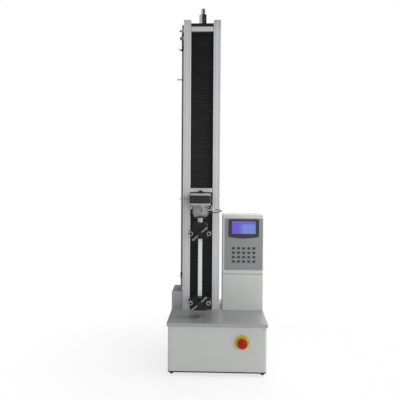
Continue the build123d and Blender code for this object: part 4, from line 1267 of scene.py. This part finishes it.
@dataclass
class PlugDarkBlock(Assembly):
    """Black block under the arm's edge, over the plug of the load cell, which darkens the corner under the
    arm.
    """

    low: Point = (-38.5, -110.5, 678.0)
    high: Point = (-27.5, -95.5, 690.0)
    groove_rim: float = 2.4
    groove_depth: float = 2.0
    edge: float = 1.0

    def build(self) -> None:
        """Shapes a block, cuts a groove in its front and rounds it."""
        dark_block = block("plug_clip", self.low, self.high)
        recess(dark_block, Axis.FRONT, self.groove_rim, self.groove_depth)
        soften(dark_block, self.edge, segments=3)
        self.dress(dark_block, "black_plastic", "crosshead")


@dataclass(frozen=True)
class Lamp:
    """Square soft lamp, in metres and watts, that the machine's metal mirrors or not."""

    name: str
    place: Point
    size: float
    power: float
    glossy: bool = True

    def hang(self, aim: Point) -> None:
        """Hangs the lamp so that it faces a point.

        Args:
            aim: the point, in metres.
        """
        data = bpy.data.lights.new(self.name, "AREA")
        data.size = self.size
        data.energy = self.power
        lamp = bpy.data.objects.new(self.name, data)
        lamp.visible_camera = False
        lamp.visible_glossy = self.glossy
        turn = (Vector(aim) - Vector(self.place)).to_track_quat("-Z", "Y").to_matrix().to_4x4()
        lamp.matrix_world = Matrix.Translation(self.place) @ turn
        bpy.context.scene.collection.objects.link(lamp)


@dataclass(frozen=True)
class Flag:
    """Black flag, in metres and degrees, that only mirrors show."""

    name: str
    place: Point
    swing: float
    rise: float
    size: Size
    colour: Linear = (0.01, 0.01, 0.01, 1.0)

    def stand(self) -> None:
        """Stands the flag where neither the camera nor any light sees it."""
        swing = Matrix.Rotation(math.radians(self.swing), 3, "Z")
        rise = Matrix.Rotation(math.radians(self.rise), 3, "X")
        turn = swing @ rise @ Matrix.Rotation(QUARTER, 3, "Y")
        bpy.ops.mesh.primitive_plane_add(size=1.0, location=self.place, rotation=turn.to_euler())
        bpy.context.active_object.scale = (*self.size, 1.0)
        flag = named(self.name)
        for sight in ("camera", "diffuse", "transmission", "shadow"):
            setattr(flag, "visible_" + sight, False)
        shader = Shader(self.name)
        shader.feed(Base_Color=self.colour, Roughness=0.9)
        flag.data.materials.append(shader.material)


@dataclass
class Studio:
    """Camera at the photograph's angle, soft lamps, pale floor and white surroundings.

    The camera's place, lens and sensor are in millimetres, its angles in degrees and the rest in metres.
    """

    camera_place: Point = (-7.76, -2212.8, 758.6)
    yaw: float = -1.85
    pitch: float = 1.29
    roll: float = 0.37
    lens: float = 45.0
    sensor: float = 36.0
    ambient: float = 0.50
    floor_size: float = 14.0
    floor_colour: Linear = (0.93, 0.93, 0.93, 1.0)
    fade_reach: Span = (0.3, 0.9)
    fade_share: Span = (0.72, 1.0)
    card_place: Point = (0.0, -5.0, 2.0)
    card_size: float = 10.0
    card_level: float = 0.52
    aim: Point = (0.0, 0.0, 0.75)
    lamps: tuple[Lamp, ...] = (
        Lamp("key", (2.2, -3.3, 1.2), 1.4, 35.0),
        Lamp("front", (0.5, -3.5, 0.95), 0.3, 13.5, glossy=False),
        Lamp("fill", (-3.4, -3.2, 2.6), 3.2, 12.0),
        Lamp("rim", (0.4, 2.4, 2.6), 2.2, 30.0),
        Lamp("side", (0.75, -0.2, 0.9), 0.5, 6.3, glossy=False),
    )
    flags: tuple[Flag, ...] = (
        Flag("top_flag", (-0.149, -0.213, 1.738), swing=-40.2, rise=-18.3, size=(0.3, 1.22)),
        Flag("table_flag", (-0.70, 0.50, 0.45), swing=90.0, rise=0.0, size=(0.9, 1.1)),
    )

    def build(self) -> None:
        """Sets up everything that isn't part of the machine."""
        bpy.context.scene.view_settings.view_transform = "Standard"
        self.camera()
        self.world()
        self.floor()
        self.card()
        for flag in self.flags:
            flag.stand()
        for lamp in self.lamps:
            lamp.hang(self.aim)

    def camera(self) -> None:
        """Places the camera from the place and angles that were fitted to the photograph's edges."""
        yaw, pitch, roll = (math.radians(a) for a in (self.yaw, self.pitch, self.roll))
        level = math.cos(pitch)
        ahead = Vector((math.sin(yaw) * level, math.cos(yaw) * level, -math.sin(pitch)))
        right = ahead.cross(Vector((0, 0, 1))).normalized()
        up = right.cross(ahead)
        across = right * math.cos(roll) + up * math.sin(roll)
        above = up * math.cos(roll) - right * math.sin(roll)
        turn = Matrix((across, above, -ahead)).transposed().to_4x4()
        data = bpy.data.cameras.new("camera")
        data.sensor_width = self.sensor
        data.lens = self.lens
        camera = bpy.data.objects.new("camera", data)
        camera.matrix_world = Matrix.Translation(Vector(self.camera_place) * MM) @ turn
        bpy.context.scene.collection.objects.link(camera)
        bpy.context.scene.camera = camera

    def world(self) -> None:
        """White to the camera and in reflections, and a soft even light on the machine."""
        world = bpy.data.worlds.new("studio")
        world.use_nodes = True
        world.node_tree.nodes.clear()
        tree = Tree(world.node_tree)
        ray = tree.add("LightPath").outputs
        mirrored = tree.math("MAXIMUM", ray["Is Glossy Ray"], ray["Is Transmission Ray"])
        seen = tree.math("MAXIMUM", ray["Is Camera Ray"], mirrored)
        level = tree.ramp(seen, (0.0, 1.0), (self.ambient, 1.0))
        back = tree.add("Background", {"Color": WHITE, "Strength": level})
        tree.add("OutputWorld", {"Surface": back.outputs["Background"]})
        bpy.context.scene.world = world

    def floor(self) -> None:
        """Pale floor that takes the shadow near the machine and fades to white further out."""
        bpy.ops.mesh.primitive_plane_add(size=self.floor_size)
        floor = named("floor")
        shader = Shader("floor")
        shader.feed(Base_Color=self.floor_colour, Roughness=0.7)
        reach = shader.add("VectorMath", {0: shader.place()}, operation="LENGTH").outputs["Value"]
        white = shader.add("Emission", {"Color": WHITE, "Strength": 1.0}).outputs[0]
        fade = shader.ramp(reach, self.fade_reach, self.fade_share)
        ray = shader.add("LightPath").outputs
        seen = shader.math("MAXIMUM", ray["Is Camera Ray"], ray["Is Glossy Ray"])
        fade = shader.math("MULTIPLY", fade, seen)
        mixed = shader.add("MixShader", {0: fade, 1: shader.bsdf.outputs["BSDF"], 2: white})
        shader.show(mixed.outputs[0])
        floor.data.materials.append(shader.material)

    def card(self) -> None:
        """Hangs a dim card behind the camera, which the machine's metal mirrors."""
        bpy.ops.mesh.primitive_plane_add(
            size=self.card_size, location=self.card_place, rotation=(QUARTER, 0, 0)
        )
        card = named("card")
        card.visible_camera = False
        shader = Shader("card")
        dim = shader.add("Emission", {"Color": WHITE, "Strength": self.card_level}).outputs[0]
        shader.show(dim)
        card.data.materials.append(shader.material)


def main() -> None:
    """Builds the studio, coats the nodes and makes every piece in order."""
    logging.basicConfig(level=logging.INFO)
    Studio().build()
    paints = Paintbox(FINISHES)
    paints.coat_nodes()
    assemblies = (
        CellLead(paints),
        Bellows(
            paints, "upper_bellows", 761.0, 1460.0, lower_body="crosshead", upper_body="frame",
            held_by=("crosshead_bars", "bellows_top_bar"),
        ),
        Bellows(
            paints, "lower_bellows", 239.0, 667.0, lower_body="frame", upper_body="crosshead",
            held_by=("column_foot_block", "crosshead_bars"), seed=11,
        ),
        TestStrip(paints),
        Fasteners(paints),
        LimitDevice(paints),
        CellCap(paints),
        GripSocketShades(paints),
        RootShadePad(paints),
        PlugDarkBlock(paints),
    )
    for assembly in assemblies:
        assembly.build()


if __name__ == "__main__":
    main()
